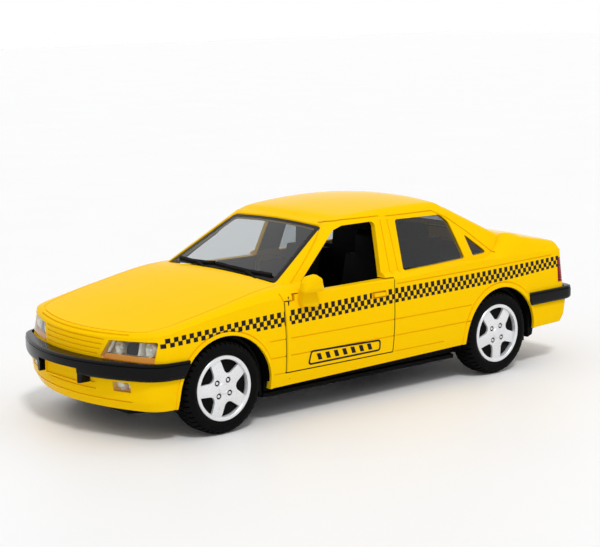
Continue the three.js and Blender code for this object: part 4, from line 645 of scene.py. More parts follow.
MIRROR_SIDE = rounded([(22.8, 37.6), (31.2, 37.6), (30.6, 40.8), (29.2, 42.4), (25.8, 42.8), (23.6, 41.4)],
                      [0.9, 1.1, 1.2, 1.2, 1.2, 1.2], 5)
middle = MIRROR_SIDE.mean(0)
rings = []
for share in np.sin(np.linspace(-1.5, 1.5, 25)):
    flat = middle + (MIRROR_SIDE - middle) * (1 - abs(share) ** 3) ** (1 / 3)
    rings.append(np.column_stack([flat[:, 0], np.full(len(flat), 37.7 + 1.9 * share), flat[:, 1]]))
head = lofted(rings)
glass_back = meet(head, block((20, 24.1), (36.5, 39.2), (38.1, 42.2)))
head = cut(head, block((20, 23.9), (36.4, 39.3), (38.0, 42.3)))
foot = softened(prism([(23, 32.6), (29.4, 33.4), (29.8, 36), (29.2, 38.8), (25, 38.8)], "y", 33.6, 36.6), 0.6)
mirror_door = join(panel, foot, head)
place("door_left_moulding", mirror_door, abs_yellow, "left_door", ("door_left",))
foil = meet(glass_back, block((23.6, 24.05), (30, 45), (30, 45)))
place("mirror_foil", foil, chrome, "left_door")
place("door_right_moulding", mirrored(panel), abs_yellow, "right_door", ("door_right",))

# Printing on the flanks: a chequered band and a framed sign on each door, in black ink on the yellow.
# Ink lies 0.05 mm proud of the moulding, three rows of checks, two in front of the door.
CHECKS, CHECK_LENGTH, CHECK_ROWS, INK = 126, 1.28, 3, 0.05
BAND_MIDDLE_X, BAND_TWO_ROWS_X = -3.1, 45.5
ROW_EDGES = straight([(-1.5, 0.0), (-0.5, 0.25), (0.5, 0.61), (1.5, 1.0)])
band_top = smooth([(79.4, 30.0), (69.9, 30.7), (60, 31.3), (52, 31.9), (34, 32.7), (13, 33.4), (-6.5, 34.0),
                   (-23, 34.2), (-54, 34.7), (-83.5, 35.4)])
band_height = smooth([(79.4, 3.4), (45, 4.1), (13, 4.5), (-20, 4.4), (-54, 4.3), (-83.5, 3.6)])


def grown(outline, distance):
    """Outline with every edge moved outwards."""
    points = np.array(outline, float)
    nxt, prv = np.roll(points, -1, 0), np.roll(points, 1, 0)
    area = np.sum(points[:, 0] * nxt[:, 1] - nxt[:, 0] * points[:, 1])
    way = 1 if area > 0 else -1

    def normal(edge):
        return way * np.column_stack([edge[:, 1], -edge[:, 0]]) / np.linalg.norm(edge, axis=1)[:, None]

    n0, n1 = normal(points - prv), normal(nxt - points)
    middle = (n0 + n1) / np.linalg.norm(n0 + n1, axis=1)[:, None]
    return points + middle * (distance / np.sum(middle * n1, axis=1))[:, None]


def place_pairs(*pieces):
    """Places pieces on the left, then their mirror images on the right; {} in a name stands for the side."""
    for side, turned in (("left", lambda mesh: mesh), ("right", mirrored)):
        for name, mesh, material, body, slot, *replaces in pieces:
            place(name.format(side), turned(mesh), material, body.format(side),
                  [node.format(side) for node in replaces])


# printed ink: dense and flat, duller than the moulding round it
ink = moulding("printed_black_ink", ("#140C0A", "#1B120E"), 4, (0.3, 0.4), 0.25, 0.002,
               {"Specular IOR Level": 0.15})
checks = block_grid(CHECKS, CHECK_ROWS, (CHECK_LENGTH, 1.0), (CHECK_LENGTH * 1.1, 0.97, 1.0), ink, True)
corners = np.array([v.co for v in checks.vertices])
quads = [tuple(p.vertices) for p in checks.polygons]
for i, (u, v, w) in enumerate(corners):
    x = BAND_MIDDLE_X + u
    z = float(band_top(x) - (1 - ROW_EDGES(v)) * band_height(x))
    corners[i] = (x, SIDE_OUT if w > 0 else SIDE_IN, z)
low_front = {k for k in range(len(corners) // 8)
             if checks.vertices[8 * k].co.y < -1.2 and corners[8 * k][0] > BAND_TWO_ROWS_X}
ink_layer = layer(-INK, 0.12)
band = meet(ink_layer, new_mesh(corners, [q for q in quads if q[0] // 8 not in low_front]))
SIGN = [(25.8, 19.7), (-1.8, 19.1), (-1.8, 15.5), (27, 15.3)]
sign = cut(side_cut(rounded(SIGN, 1.2)), prism(rounded(grown(SIGN, -0.55), 0.7), "y", 0, FAR))
bars = block_grid(7, 1, (3.3, 1.0), (1.5, 2.0, 60.0), ink)
bars.transform(Matrix(((1, 0.42, 0, 12.6), (0, 0, 1, 40), (0, 1, 0, 17.45), (0, 0, 0, 1))))
bars.flip_normals()
sign = meet(ink_layer, gathered(sign, bars))
door_zone = prism(grown(DOOR_PANEL, -0.02), "y", 0, FAR)
door_band = cut(meet(band, door_zone), prism(HANDLE, "y", 0, FAR))
door_print = gathered(door_band, meet(sign, door_zone))
shell_band = cut(band, prism(grown(DOORWAY, 0.02), "y", 0, FAR))
place("flank_print_shell", both(shell_band), ink, "car_body")
place_pairs(("flank_print_door_{}", door_print, ink, "{}_door", "black_plastic"))

# Glazing: windscreen, rear screen and rear side lights, clear polystyrene pressed in from inside.
# The windscreen has a black printed border and two moulded wipers; the front windows stay open.
GLASS_OUT, GLASS_IN = 0.4, 1.2


def clear_sheet(name, tint, gloss):
    """Clear sheet that lets light straight through and mirrors the room more towards grazing angles."""
    material = moulding(name, ("#FFFFFF", "#F4F6F7"), 20, gloss, 2.0, 0.001, {"Metallic": 1.0})
    tree = material.node_tree
    through = add_node(tree, "ShaderNodeBsdfTransparent", {"Color": linear(tint)})
    mirrored_share = add_node(tree, "ShaderNodeFresnel", {"IOR": 1.49}).outputs[0]
    far_face = add_node(tree, "ShaderNodeNewGeometry").outputs["Backfacing"]
    share = math_of(tree, "MULTIPLY", mirrored_share, math_of(tree, "SUBTRACT", 1.0, far_face))
    mirror = tree.nodes["Principled BSDF"].outputs[0]
    sheet = add_node(tree, "ShaderNodeMixShader", links={0: share, 1: through.outputs[0], 2: mirror})
    tree.links.new(sheet.outputs[0], tree.nodes["Material Output"].inputs["Surface"])
    return material


# clear polystyrene: a light grey window that mirrors the room at a slant
polystyrene = clear_sheet("clear_polystyrene", "#DADDDE", (0.02, 0.05))

pane = layer(GLASS_OUT, GLASS_IN, cabin)
border_layer = layer(GLASS_OUT - 0.06, GLASS_OUT + 0.02, cabin)
wiper_layer = layer(-0.35, GLASS_OUT + 0.1, cabin)
WINDSCREEN_CLEAR = [(31.2, -25.1), (31.2, 25.1), (10.8, 20.0), (10.8, -20.0)]
REAR_SCREEN_CLEAR = [(-57.6, -22.6), (-57.6, 22.6), (-45.8, 19.4), (-45.8, -19.4)]
WIPER_BLADES = [[(30.9, -3.6), (31.3, 6), (31.3, 14), (30.6, 23.4)],
                [(30.6, -23.2), (31.3, -16), (31.2, -9), (30.7, -4.6)]]
WIPER_ARMS = [[(34.6, 21.5), (32.6, 17), (31.3, 11)], [(34.6, -4.4), (32.6, -8.5), (31.2, -13.5)]]


def screen(outline, radius):
    opening = prism(rounded(grown(outline, -0.06), radius), "z", BELT_Z, ROOF_CLEAR_Z)
    return cut(meet(pane, opening), lower_out)


def border(outline, clear, radius):
    ring = cut(prism(rounded(grown(outline, -0.06), radius), "z", BELT_Z, ROOF_CLEAR_Z),
               prism(rounded(clear, radius), "z", 0, FAR))
    return cut(meet(border_layer, ring), lower_out)


place("windscreen_pane", screen(WINDSCREEN, SCREEN_ROUND), polystyrene, "car_body",
      ("windscreen",))
place("rear_screen_pane", screen(REAR_SCREEN, REAR_SCREEN_ROUND), polystyrene, "car_body",
      ("rear_screen",))
borders = gathered(border(WINDSCREEN, WINDSCREEN_CLEAR, SCREEN_ROUND),
                   border(REAR_SCREEN, REAR_SCREEN_CLEAR, REAR_SCREEN_ROUND))
place("screen_borders", borders, ink, "car_body")
wipers = [prism(ribbon(path, width), "z", BELT_Z, 63) for path, width in
          [(p, 0.75) for p in WIPER_BLADES] + [(p, 0.55) for p in WIPER_ARMS]]
wipers = meet(wiper_layer, join(*wipers))
place("wipers", cut(wipers, lower_body(-0.05)), abs_satin, "car_body")
side_panes = [meet(pane, side_cut(grown(outline, -0.05)))
              for outline in (REAR_WINDOW, QUARTER_LIGHT)]
side_panes = cut(gathered(*side_panes), lower_out)
place_pairs(("side_glass_{}_panes", side_panes, polystyrene, "car_body", "clear_glazing", "side_glass_{}"))

# Headlamps and fog lamps: clear lenses over plated reflectors, with bulbs and a turn lamp behind the same lens.
# Amber is tampo-printed behind the lens at its outer end for the turn lamp; the amber along the lens's lower edge
# is painted reflection of the yellow body.
LENS_DEPTH = 1.0
# clear acrylic: almost unseen but for its gloss
lens_clear = clear_sheet("clear_acrylic_lens", "#F6F7F5", (0.03, 0.06))
# glossy ABS: deep black with a soft shine along its edges
abs_black = moulding("moulded_abs_black_gloss", ("#080808", "#0E0E0F"), 18, (0.16, 0.26), 0.7, 0.006,
                     {"IOR": 1.2})
# amber acrylic: warm orange, evenly bright, for the turn lamps and for the painted reflection of the yellow body
# along the headlamps' lower edge
amber_and_reflection = moulding("amber_acrylic", ("#FFB01E", "#FFA612"), 5, (0.12, 0.2), 0.5, 0.002,
                 {"IOR": 1.1})
# plated reflector: pale, half mirror and half satin, so the lamps look bright
plating = moulding("vacuum_plated_reflector", ("#F4F2EC", "#E6E3DB"), 4, (0.14, 0.22), 0.5, 0.002,
                   {"Metallic": 0.4})
# white ABS: plain and softly shiny
white_abs = moulding("moulded_abs_white", ("#F2F2F0", "#E6E6E4"), 6, (0.25, 0.35), 0.4, 0.003)


def nose_x_at(y, z):
    along, across = plan(LOWER, z)
    return float(np.interp(y, across[:FRONT_STEPS + CORNER_STEPS], along[:FRONT_STEPS + CORNER_STEPS]))


def lathe(profile, centre, steps=72, axis="y"):
    """Solid of revolution; the profile of (radius, place along the axis) leaves and meets the axis or closes."""
    profile = np.array(profile, float)
    u, v, w = AXES[axis]
    angles = np.arange(steps) * 2 * math.pi / steps
    points = np.zeros((steps, len(profile), 3))
    points[:, :, u] = centre[0] + np.cos(angles)[:, None] * profile[:, 0]
    points[:, :, v] = centre[1] + np.sin(angles)[:, None] * profile[:, 0]
    points[:, :, w] = profile[:, 1]
    faces = [tuple(i % (steps * len(profile)) for i in face) for face in bands(steps + 1, len(profile))]
    mesh = new_mesh(points.reshape(-1, 3), faces)
    shape = bmesh.new()
    shape.from_mesh(mesh)
    bmesh.ops.dissolve_degenerate(shape, dist=1e-6, edges=shape.edges)
    bmesh.ops.recalc_face_normals(shape, faces=shape.faces)
    shape.to_mesh(mesh)
    shape.free()
    return mesh


def lamp_layer(outline, start, end, radius=0.6):
    return meet(layer(start, end), prism(rounded(outline, radius), "x", LAMP_FROM_X, LAMP_TO_X))


def bowl(y, z, radius, depth):
    x = nose_x_at(y, z) - depth
    dish = [(0, x), (radius * 0.35, x), (radius * 0.8, x + 0.45), (radius, x + 1.05)]
    return lathe(dish + [(radius, x - 0.4), (0, x - 0.4)], (y, z), 40, "x")


def bulb(y, z, radius, depth):
    x = nose_x_at(y, z) - depth
    profile = [(0, x + radius * 1.1)]
    profile += [(radius * math.sin(a), x + radius * 1.1 * math.cos(a)) for a in np.linspace(0.2, math.pi / 2, 7)]
    return lathe(profile + [(radius, x - 0.5), (0, x - 0.5)], (y, z), 24, "x")


LAMP_INSIDE = grown(HEADLAMP, -0.12)
lens = lamp_layer(LAMP_INSIDE, 0.04, LENS_DEPTH)
back = lamp_layer(LAMP_INSIDE, 2.6, 3.2)
reflector = join(back, bowl(19.4, 26.5, 1.9, 2.7), bowl(29.4, 26.7, 2.0, 2.7))
square = lamp_layer([(22.2, 25.0), (25.5, 25.0), (25.6, 28.3), (22.3, 28.2)], 1.3, 2.7, 0.3)
bulbs = gathered(bulb(19.4, 26.5, 0.75, 2.6), bulb(29.4, 26.7, 0.85, 2.6),
                 lamp_layer([(26.0, 25.0), (26.7, 25.0), (26.8, 28.5), (26.1, 28.5)], 1.2, 2.7, 0.1),
                 lamp_layer([(15.7, 25.0), (16.4, 25.0), (17.9, 28.4), (17.3, 28.4)], 1.05, 1.6, 0.1))
edge_end = lamp_layer([(30.6, 25.3), (31.9, 24.9), (32.1, 29.0), (31.3, 28.9)], 1.05, 1.5, 0.2)
# amber strip along the headlamp's lower edge: painted reflection of the yellow body
body_reflection_low = lamp_layer([(14.3, 23.25), (31.9, 23.25), (31.9, 24.7), (15.1, 24.7)], 1.05, 1.5, 0.2)
fog_lens = lamp_layer(grown(FOG_LAMP, -0.1), 0.1, 0.7, 0.3)
fog_back = join(lamp_layer(grown(FOG_LAMP, -0.1), 1.2, 1.7, 0.3), bowl(23.1, 16.4, 1.1, 1.5))
fog_edge = lamp_layer([(20.3, 14.95), (25.9, 14.95), (25.9, 15.5), (20.3, 15.5)], 0.72, 1.0, 0.1)
# the amber at the outer end is the turn lamp, the amber along the headlamp's lower edge is painted reflection
edges = gathered(edge_end, body_reflection_low, fog_edge)
place_pairs(("headlamp_{}_lens", lens, lens_clear, "car_body", "clear_glazing", "headlamp_lens_{}"),
            ("headlamp_{}_plating", reflector, plating, "car_body", "lamp_chrome", "headlamp_reflector_{}"),
            ("headlamp_{}_bulbs", bulbs, white_abs, "car_body", "clear_glazing"),
            ("headlamp_{}_square", square, abs_black, "car_body", "black_plastic"),
            ("headlamp_{}_amber", edges, amber_and_reflection, "car_body", "clear_glazing"),
            ("fog_lamp_{}_lens", fog_lens, lens_clear, "car_body", "clear_glazing", "fog_lamp_{}"),
            ("fog_lamp_{}_plating", fog_back, plating, "car_body", "lamp_chrome"))

# Tail lamps: dark red acrylic that wraps round each rear corner, ribbed along its length.
# Each is one moulding, held in an opening of the shell.
TAIL_RIBS, TAIL_RIB_PITCH = 9, 0.84
# dark red acrylic: deep colour under a clear shine
red_acrylic = moulding("dark_red_acrylic", ("#9C0F1A", "#860B16"), 6, (0.1, 0.18), 0.6, 0.002, {"IOR": 1.2})
tail = meet(layer(0.05, 1.5), prism(rounded(grown(TAIL_LAMP, -0.14), 0.5), "x", -LAMP_TO_X, TAIL_LAMP_X - 0.14))
ribs = block_grid(1, TAIL_RIBS, (1.0, TAIL_RIB_PITCH), (40.0, 0.26, 40.0), red_acrylic)
ribs.transform(Matrix(((1, 0, 0, -88), (0, 0, 1, 27), (0, 1, 0, 30.7), (0, 0, 0, 1))))
ribs.flip_normals()
tail = cut(tail, meet(layer(-1, 0.4), ribs))
place_pairs(("tail_lamp_{}_lens", tail, red_acrylic, "car_body", "red_lens", "tail_lamp_{}"))

# Bumper strips: black ABS bars that clip into a step of the shell, with a flat ledge above a crisp face.
# The front one has two ears that hold the number plate.
STRIP = dict(LOWER, front=lambda z: np.full_like(z, 91.99), rear=lambda z: np.full_like(z, -91.99),
             half_width=lambda z: LOWER["half_width"](z) + 1.1, bow=(11.2, 1.2), corner=(4.5, 4.2))
PLATE_HALF = 9.0
STRIP_SECTION = [(0, 0.75), (0.03, 0.45), (0.09, 0.18), (0.17, 0.05), (0.26, 0), (0.72, 0), (0.8, 0.06),
                 (0.83, 0.3), (0.86, 0.3), (0.88, 0.1), (0.93, 0.14), (0.97, 0.32), (0.99, 0.6), (1, 0.95)]
EAR = rounded([(10.2, 16.2), (11.6, 16.2), (12.4, 19.2), (10.2, 19.2)], [0.3, 0.6, 0.1, 0.1])


def strip(low, high, arch, ends):
    """Bar of one section round the car between two ends in x, cut back from the body and a wheel arch."""
    rings = []
    for share, inset in STRIP_SECTION:
        x, y = plan(STRIP, (low + high) / 2, inset)
        rings.append(np.column_stack([x, y, np.full(len(x), low + (high - low) * share)]))
    bar = cut(stacked(rings), lower_body(-0.12 - LIP_PROUD))
    bar = meet(bar, block(ends, (-50, 50), (0, 60)))
    return cut(bar, rod(ARCH_RADIUS + 0.3, "y", arch[:2], -FAR, FAR, 96))


front_strip = cut(strip(18.45, 23.55, ARCHES[0], (69.4, 95)),
                  block((80, 99), (-PLATE_HALF - 1.2, PLATE_HALF + 1.2), (0, 20.5)))
x, y = plan(STRIP, 21.0, 0.2)
ear_form = stacked([np.column_stack([x, y, np.full(len(x), z)]) for z in (10.0, 19.5)])
ear_form = cut(ear_form, lower_body(-0.12))
ear = meet(ear_form, prism(EAR, "x", 80, 99))
front_strip = join(front_strip, ear, mirrored(ear))
rear_strip = strip(20.45, 24.95, ARCHES[1], (-95, -68.2))
place("front_bumper_bar", front_strip, abs_black, "car_body", ("front_bumper_strip",))
place("rear_bumper_bar", rear_strip, abs_black, "car_body", ("rear_bumper_strip",))

# Number plates: yellow ABS plates with a raised border, left bare.
# The front one sits between the ears of the bumper strip, the rear one on the boot's face.
PLATE_SINK = 0.45
for name in ("front_number_plate", "rear_number_plate"):
    least, most = (np.array(corner) * 1000 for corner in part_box(name))
    outer = [(least[1], least[2]), (most[1], least[2]), (most[1], most[2]), (least[1], most[2])]
    plate = softened(prism(rounded(outer, 0.5), "x", least[0], most[0]), 0.12, 2)
    face = (most[0] - PLATE_SINK, 99) if name == "front_number_plate" else (-99, least[0] + PLATE_SINK)
    field = prism(rounded(grown(outer, -0.6), 0.3), "x", *face)
    place(f"{name}_plate", cut(plate, field), abs_yellow, "car_body", (name,))

# Interior: one black tub with the rear bench, two front seats, a dashboard and a steering wheel.
# All are satin black ABS, with thin black trim inside the roof, pillars and doors; the seats have moulded pleats.
SEAT_X, SEAT_Y, SEAT_Z, SEAT_WIDTH = 5.5, 15.0, 10.29, 18.0
SEAT_SIDE = rounded([(-0.5, 0), (0, 7), (-2.5, 9.2), (-6.5, 8.6), (-14.1, 7.6), (-19, 30.5), (-19.4, 37.2),
                     (-20.8, 39.3), (-22.8, 37.6), (-23.2, 31.5), (-19.5, 6), (-18.5, 0)],
                    [0.5, 1.5, 2, 2, 1, 0.6, 1, 1, 1, 0.6, 1, 0.5], 4)
seat = prism(SEAT_SIDE + (SEAT_X, SEAT_Z + 0.05), "y", SEAT_Y - SEAT_WIDTH / 2, SEAT_Y + SEAT_WIDTH / 2)
for y0, y1 in ((SEAT_Y + SEAT_WIDTH / 4, SEAT_Y + SEAT_WIDTH), (SEAT_Y - SEAT_WIDTH, SEAT_Y - SEAT_WIDTH / 4)):
    seat = cut(seat, block((SEAT_X - 26, SEAT_X - 15), (y0, y1), (SEAT_Z + 30.9, SEAT_Z + 46)))
pleats = block_grid(5, 1, (2.5, 1.0), (0.5, 12.0, 0.9), abs_satin)
cushion_cut, back_cut = pleats.copy(), pleats.copy()
cushion_cut.transform(Matrix.Translation((SEAT_X - 7.6, SEAT_Y, SEAT_Z + 8.7)) @ Matrix.Rotation(-0.1, 4, "Y"))
back_cut.transform(Matrix.Translation((SEAT_X - 16.3, SEAT_Y, SEAT_Z + 18)) @ Matrix.Rotation(-1.36, 4, "Y"))
seat = cut(softened(seat, 0.7, 3, 40), cushion_cut, back_cut)
roof_trim = meet(layer(WALL + 0.03, WALL + 0.3, cabin), block((-70, 45), (-40, 40), (38.4, 63)))
for outline in (FRONT_WINDOW, REAR_WINDOW, QUARTER_LIGHT):
    roof_trim = cut(roof_trim, both(side_cut(grown(outline, 0.4))))
for outline in (WINDSCREEN, REAR_SCREEN):
    roof_trim = cut(roof_trim, prism(grown(outline, 0.4), "z", 0, 70))
roof_trim = cut(roof_trim, lower_out)
side_trim = layer(WALL + 0.03, WALL + 0.3)
REAR_TRIM = [(-9.4, 15.6), (-34, 15.6), (-34, 34.6), (-9.4, 34.6)]
DOOR_TRIM = [(29.8, 15.6), (-6, 15.6), (-7.1, 36.4), (29.8, 36.4)]
rear_trim, door_trim = (meet(side_trim, prism(rounded(outline, 1), "y", 25, 50))
                        for outline in (REAR_TRIM, DOOR_TRIM))
place("roof_and_pillar_trim", gathered(roof_trim, both(rear_trim)), abs_satin, "car_body")
place_pairs(("door_trim_{}", door_trim, abs_satin, "{}_door", "black_plastic"))
place_pairs(("front_seat_{}_moulding", seat, abs_satin, "car_body", "black_plastic", "front_seat_{}"))

DASH_SIDE = [(38.5, 24), (38.5, 36), (31, 37.4), (26, 36.8), (25, 33), (28.5, 26)]
dash = softened(prism(rounded(DASH_SIDE, [0.4, 1, 1, 1.2, 1, 0.8], 4), "y", -27.5, 27.5), 0.5, 3, 50)
hood = softened(prism([(24.7, 34), (30, 34), (30, 38.6), (28, 39.6), (25.2, 39.4)], "y", 9, 21), 0.6)
dash = join(dash, hood)
vents = block_grid(4, 4, (12.6, 0.7), (6.0, 0.34, 3.0), abs_satin)
vents.transform(Matrix.Translation((25.4, 0, 34.9)) @ FACING_X)
dash = cut(dash, vents, block((20, 26.3), (-22, -6), (29.5, 29.8)))
dials = gathered(*[rod(2.1, "x", (y, 36.6), 20, 25.3) for y in (12.4, 17.6)])
WHEEL_CENTRE, WHEEL_TILT, WHEEL_RADIUS = Vector((19.4, 15, 32.6)), 0.42, 5.6
tilt = Matrix.Translation(WHEEL_CENTRE) @ Matrix.Rotation(math.pi / 2 + WHEEL_TILT, 4, "Y")
column_way = rod(1.25, "z", (0, 0), -1, 7.8)
column_way.transform(tilt)
place("dashboard_moulding", cut(dash, dials, column_way), abs_satin, "car_body",
      ("dashboard",))
ring = [(WHEEL_RADIUS + 0.6 * math.cos(a), 0.6 * math.sin(a)) for a in np.arange(12) * math.pi / 6]
wheel = join(lathe(ring, (0, 0), 64, "z"), rod(1.6, "z", (0, 0), -0.5, 0.7),
             rod(0.85, "z", (0, 0), 0, 7.4))
for turn in range(3):
    spoke = softened(block((1.2, WHEEL_RADIUS), (-0.7, 0.7), (-0.32, 0.32)), 0.15, 2)
    spoke.transform(Matrix.Rotation(turn * 2 * math.pi / 3, 4, "Z"))
    wheel = join(wheel, spoke)
wheel.transform(tilt)
place("steering_wheel_moulding", wheel, abs_satin, "car_body", ("steering_wheel",))

# Tyres: black rubber rings with tread blocks and a moulded bead line, stretched over the rims.
# The tread is three rows of cuts between two channels.
TYRE_RADIUS, TYRE_HALF, RIM_RADIUS = 13.46, 4.5, 9.5
AXLE_Z, WHEEL_FACE_Y = 13.4648, 35.3
TREAD_BLOCKS, TREAD_DEPTH = 46, 0.5
# rubber: dull black with a coarse grain that spreads the light
rubber = moulding("moulded_black_rubber", ("#090909", "#0F0F0F"), 5, (0.5, 0.68), 0.25, 0.02,
                  {"IOR": 1.12})


def ring_tree():
    """Geometry Nodes tree that sets blocks round a circle, each turned to face outwards."""
    tree, given = socketed_tree("blocks_round_a_circle", {
        "Count": "Int", "Radius": "Float", "Block": "Vector", "Material": "Material"})
    circle = add_node(tree, "GeometryNodeMeshCircle",
                      links={"Vertices": given["Count"], "Radius": given["Radius"]})
    share = math_of(tree, "DIVIDE", add_node(tree, "GeometryNodeInputIndex").outputs[0], given["Count"])
    axis = add_node(tree, "ShaderNodeCombineXYZ", links={"Z": math_of(tree, "MULTIPLY", share, 2 * math.pi)})
    return blocks_out(tree, given, Points=circle.outputs["Mesh"], Rotation=axis.outputs[0])


block_rings = ring_tree()
upright = Matrix.Rotation(math.pi / 2, 4, "X")
carcass = [(RIM_RADIUS + 0.04, -4.0), (10.3, -4.42), (11.0, -4.5), (12.0, -4.4), (12.7, -4.1), (13.1, -3.6),
           (13.3, -3.0), (TYRE_RADIUS, -2.2), (TYRE_RADIUS, 2.2), (13.3, 3.0), (13.1, 3.6), (12.7, 4.1),
           (12.0, 4.4), (11.25, 4.5), (11.1, 4.42), (10.95, 4.5), (10.3, 4.42), (RIM_RADIUS + 0.04, 4.0)]
tyre = lathe(carcass, (0, 0), 112)
for across, turn, depth in ((3.335, 0.0, 0.95), (-3.335, 0.5, 0.95), (0.0, 0.25, TREAD_DEPTH)):
    sipes = grown_from(block_rings, {"Count": TREAD_BLOCKS, "Radius": TYRE_RADIUS, "Block": (2 * depth, 0.5, 2.2),
                                     "Material": rubber})
    sipes.transform(Matrix.Translation((0, across, 0)) @ upright
                    @ Matrix.Rotation(turn * 2 * math.pi / TREAD_BLOCKS, 4, "Z"))
    tyre = cut(tyre, sipes)
for across in (-1.6, 1.6):
    channel = lathe([(TYRE_RADIUS - TREAD_DEPTH, across - 0.2), (14.5, across - 0.2), (14.5, across + 0.2),
                     (TYRE_RADIUS - TREAD_DEPTH, across + 0.2)], (0, 0), 112)
    tyre = cut(tyre, channel)

# Rims: ABS with silver paint, five broad spokes dished behind a bright lip, four bolts and a plain centre cap.
# A black plug behind the spokes closes each wheel, and black rings round the bolts are painted shade in the bolt
# holes; rims are pressed on the axles.
SPOKES, SPOKE_TIP_TURN, SPOKE_ROOT_TURN = 5, 0.21, 0.4
BOLTS, BOLT_CIRCLE, BOLT_TURN = 4, 2.75, 0.66
# silver paint: light grey, half metallic, so it stays bright from every side
silver = moulding("silver_paint", ("#ECEDEF", "#DFE0E3"), 8, (0.24, 0.34), 0.3, 0.003, {"Metallic": 0.45})


def polar(radius, turn):
    return (radius * math.cos(turn), radius * math.sin(turn))


def bolt_places(turn):
    return [polar(BOLT_CIRCLE, turn + BOLT_TURN + bolt * 2 * math.pi / BOLTS) for bolt in range(BOLTS)]


def rim(turn):
    """Left rim about an axle on the y axis, its outer lip at y = 0."""
    barrel = lathe([(RIM_RADIUS, -8.5), (RIM_RADIUS, -0.35), (RIM_RADIUS - 0.12, -0.2), (RIM_RADIUS - 0.95, -0.2),
                    (RIM_RADIUS - 1.1, -0.35), (RIM_RADIUS - 1.1, -8.5)], (0, 0), 112)
    face = lathe([(0, -2.2), (RIM_RADIUS - 0.6, -2.2), (RIM_RADIUS - 0.6, -0.95), (7.6, -0.72), (5.0, -0.62),
                  (0, -0.62)], (0, 0), 112)
    for spoke in range(SPOKES):
        start = turn + spoke * 2 * math.pi / SPOKES
        end = start + 2 * math.pi / SPOKES
        tips = np.linspace(start + SPOKE_TIP_TURN, end - SPOKE_TIP_TURN, 9)
        window = [polar(RIM_RADIUS - 1.15, a) for a in tips]
        window += [polar(4.9, end - SPOKE_ROOT_TURN), polar(4.25, (start + end) / 2),
                   polar(4.9, start + SPOKE_ROOT_TURN)]
        hole = prism(rounded(window, [0.9] + [0.1] * 7 + [0.9, 0.9, 1.5, 0.9], 5), "y", -5, 5)
        face = cut(face, hole)
    for at in bolt_places(turn):
        face = cut(face, lathe([(0, -1.6), (0.82, -1.6), (1.0, 0.4), (0, 0.4)], at, 24))
        face = join(face, rod(0.46, "y", at, -1.8, -0.75, 6))
    cap = lathe([(0, -1.5), (1.75, -1.5), (1.75, -0.62), (1.55, -0.35), (1.3, -0.28), (1.15, -0.4), (0.6, -0.3),
                 (0, -0.25)], (0, 0), 48)
    hub = lathe([(1.04, -9.9), (1.9, -9.9), (1.9, -2.0), (1.04, -2.0)], (0, 0), 40)
    return join(softened(face, 0.14, 2, 50), barrel, cap, hub)


def wheel_core(turn):
    """Black plug behind the spokes, with a ring round each bolt that is painted shade in the bolt hole."""
    edge = RIM_RADIUS - 1.12
    plug = lathe([(2.4, -2.15), (edge, -2.15), (edge, -1.7), (6.4, -1.35), (2.4, -1.35)], (0, 0), 96)
    # black rings in the bolt holes: painted shade
    bolt_hole_shade = [(0.5, -1.58), (0.8, -1.58), (0.86, -0.95), (0.5, -0.95)]
    return gathered(plug, *[lathe(bolt_hole_shade, at, 24) for at in bolt_places(turn)])


for axle, axle_x, turn in (("front", FRONT_AXLE_X, 0.0), ("rear", REAR_AXLE_X, -math.pi / 2)):
    fresh_tyre, fresh_rim, fresh_plug_and_bolt_shade = tyre.copy(), rim(turn), wheel_core(turn)
    for mesh, inwards in ((fresh_tyre, TYRE_HALF), (fresh_rim, 0), (fresh_plug_and_bolt_shade, 0)):
        mesh.transform(Matrix.Translation((axle_x, WHEEL_FACE_Y - inwards, AXLE_Z)))
    wheels = axle + "_wheels"
    place_pairs((axle + "_tyre_{}_rubber", fresh_tyre, rubber, wheels, "tyre_rubber", axle + "_tyre_{}"),
                # black plug behind the spokes, with black rings in the bolt holes that are painted shade
                (axle + "_wheel_{}_core", fresh_plug_and_bolt_shade, abs_satin, wheels, "black_plastic"),
                (axle + "_rim_{}_paint", fresh_rim, silver, wheels, "rim_silver", axle + "_rim_{}"))

# Running gear and motor: chassis plate, tub and motor case in black ABS, steel axles, pins and screws, acetal
# gears. They are plain machine forms, so the frame's own solids are shown with their finishes; a splash guard
# of black ABS hangs behind each rear wheel.
GUARD_SIDE = [(-69.6, 9.4), (-71.8, 10.2), (-73.4, 19), (-69.6, 19)]
# drawn steel: grey metal with a fine streaky shine
steel = moulding("drawn_steel_wire", ("#A9ABAE", "#95979B"), 3, (0.22, 0.36), 0.15, 0.002, {"Metallic": 1.0})
# blackened steel: nearly black, with a dull metal glint
dark_steel = moulding("blackened_steel_wire", ("#2A2B2D", "#222325"), 3, (0.3, 0.42), 0.15, 0.002,
                      {"Metallic": 0.8})
# natural acetal: waxy off-white that lets a little light in
acetal = moulding("natural_acetal", ("#EFEDE4", "#E6E3D8"), 5, (0.35, 0.45), 0.4, 0.003,
                  {"Subsurface Weight": 0.1})
FINISHES = {"chassis": abs_satin, "interior_tub": abs_satin, "motor_case": abs_satin, "front_axle": steel,
            "rear_axle": steel, "door_hinge_pin": dark_steel, "front_chassis_screw": steel,
            "rear_chassis_screw": steel, "mainspring": steel, "spring_arbor": steel, "axle_gear": acetal,
            "spring_barrel_gear": acetal}
guard = softened(prism(GUARD_SIDE, "y", 24.5, 33.3), 0.3, 2)
place("rear_splash_guards", both(guard), abs_satin, "car_body")
for name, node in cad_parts.items():
    for start, finish in FINISHES.items():
        if name.startswith(start):
            for socket in node.material_slots:
                socket.material = finish

# Setting: a satin white sheet under soft overhead light, seen from the front left corner.
# The room is white to the eye, in mirrors and through glass, and dimmer below for soft shading.
EYE = Vector((332.440, 405.373, 124.730)) / 1000
RIGHT, UP, BACK = (-0.77190, 0.63555, -0.01609), (-0.11911, -0.11971, 0.98564), (0.62449, 0.76273, 0.16811)
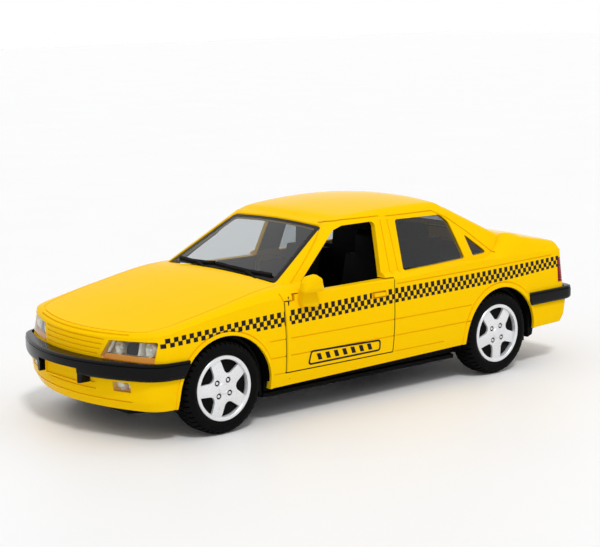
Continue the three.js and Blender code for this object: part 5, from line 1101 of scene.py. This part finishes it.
# satin acrylic sheet: near white, so shadows read and no sharp mirror image shows
sheet = moulding("satin_white_acrylic_sheet", ("#FBFBFB", "#F6F6F7"), 60, (0.46, 0.52), 40, 0.002,
                 {"Specular IOR Level": 0.4})
ground = bpy.data.meshes.new("floor")
ground.from_pydata([(-3, -3, 0), (3, -3, 0), (3, 3, 0), (-3, 3, 0)], [], [(0, 1, 2, 3)])
ground.materials.append(sheet)
floor = bpy.data.objects.new("floor", ground)
bpy.context.scene.collection.objects.link(floor)

scene = bpy.context.scene
world = bpy.data.worlds.new("white_room")
world.use_nodes = True
scene.world = world
tree = world.node_tree
ray = add_node(tree, "ShaderNodeLightPath").outputs
seen = math_of(tree, "MAXIMUM", ray["Is Camera Ray"], ray["Is Transmission Ray"])
white = math_of(tree, "MAXIMUM", seen, ray["Is Glossy Ray"])
towards = add_node(tree, "ShaderNodeTexCoord").outputs["Generated"]
way = add_node(tree, "ShaderNodeSeparateXYZ", links={0: towards})
overhead = add_node(tree, "ShaderNodeMapRange", {"To Min": 0.4, "To Max": 0.86}, {"Value": way.outputs["Z"]})
level = add_node(tree, "ShaderNodeMapRange", {"To Max": 1.0}, {"Value": white, "To Min": overhead.outputs[0]})
tree.nodes["Background"].inputs["Color"].default_value = (1, 1, 1, 1)
tree.links.new(level.outputs["Result"], tree.nodes["Background"].inputs["Strength"])
key = bpy.data.lights.new("overhead_key", "SUN")
key.energy, key.angle = 1.2, math.radians(10)
light = bpy.data.objects.new("overhead_key", key)
light.matrix_world = Vector((0.25, 0.6, 1.0)).to_track_quat("Z", "Y").to_matrix().to_4x4()
scene.collection.objects.link(light)
lens_data = bpy.data.cameras.new("camera")
lens_data.lens, lens_data.sensor_width, lens_data.sensor_fit = 100.0, 36.0, "HORIZONTAL"
lens_data.clip_start = 0.01
camera = bpy.data.objects.new("camera", lens_data)
camera.matrix_world = Matrix.Translation(EYE) @ Matrix((RIGHT, UP, BACK)).transposed().to_4x4()
scene.collection.objects.link(camera)
scene.camera = camera
scene.view_settings.view_transform = "Standard"

bpy.context.view_layer.update()
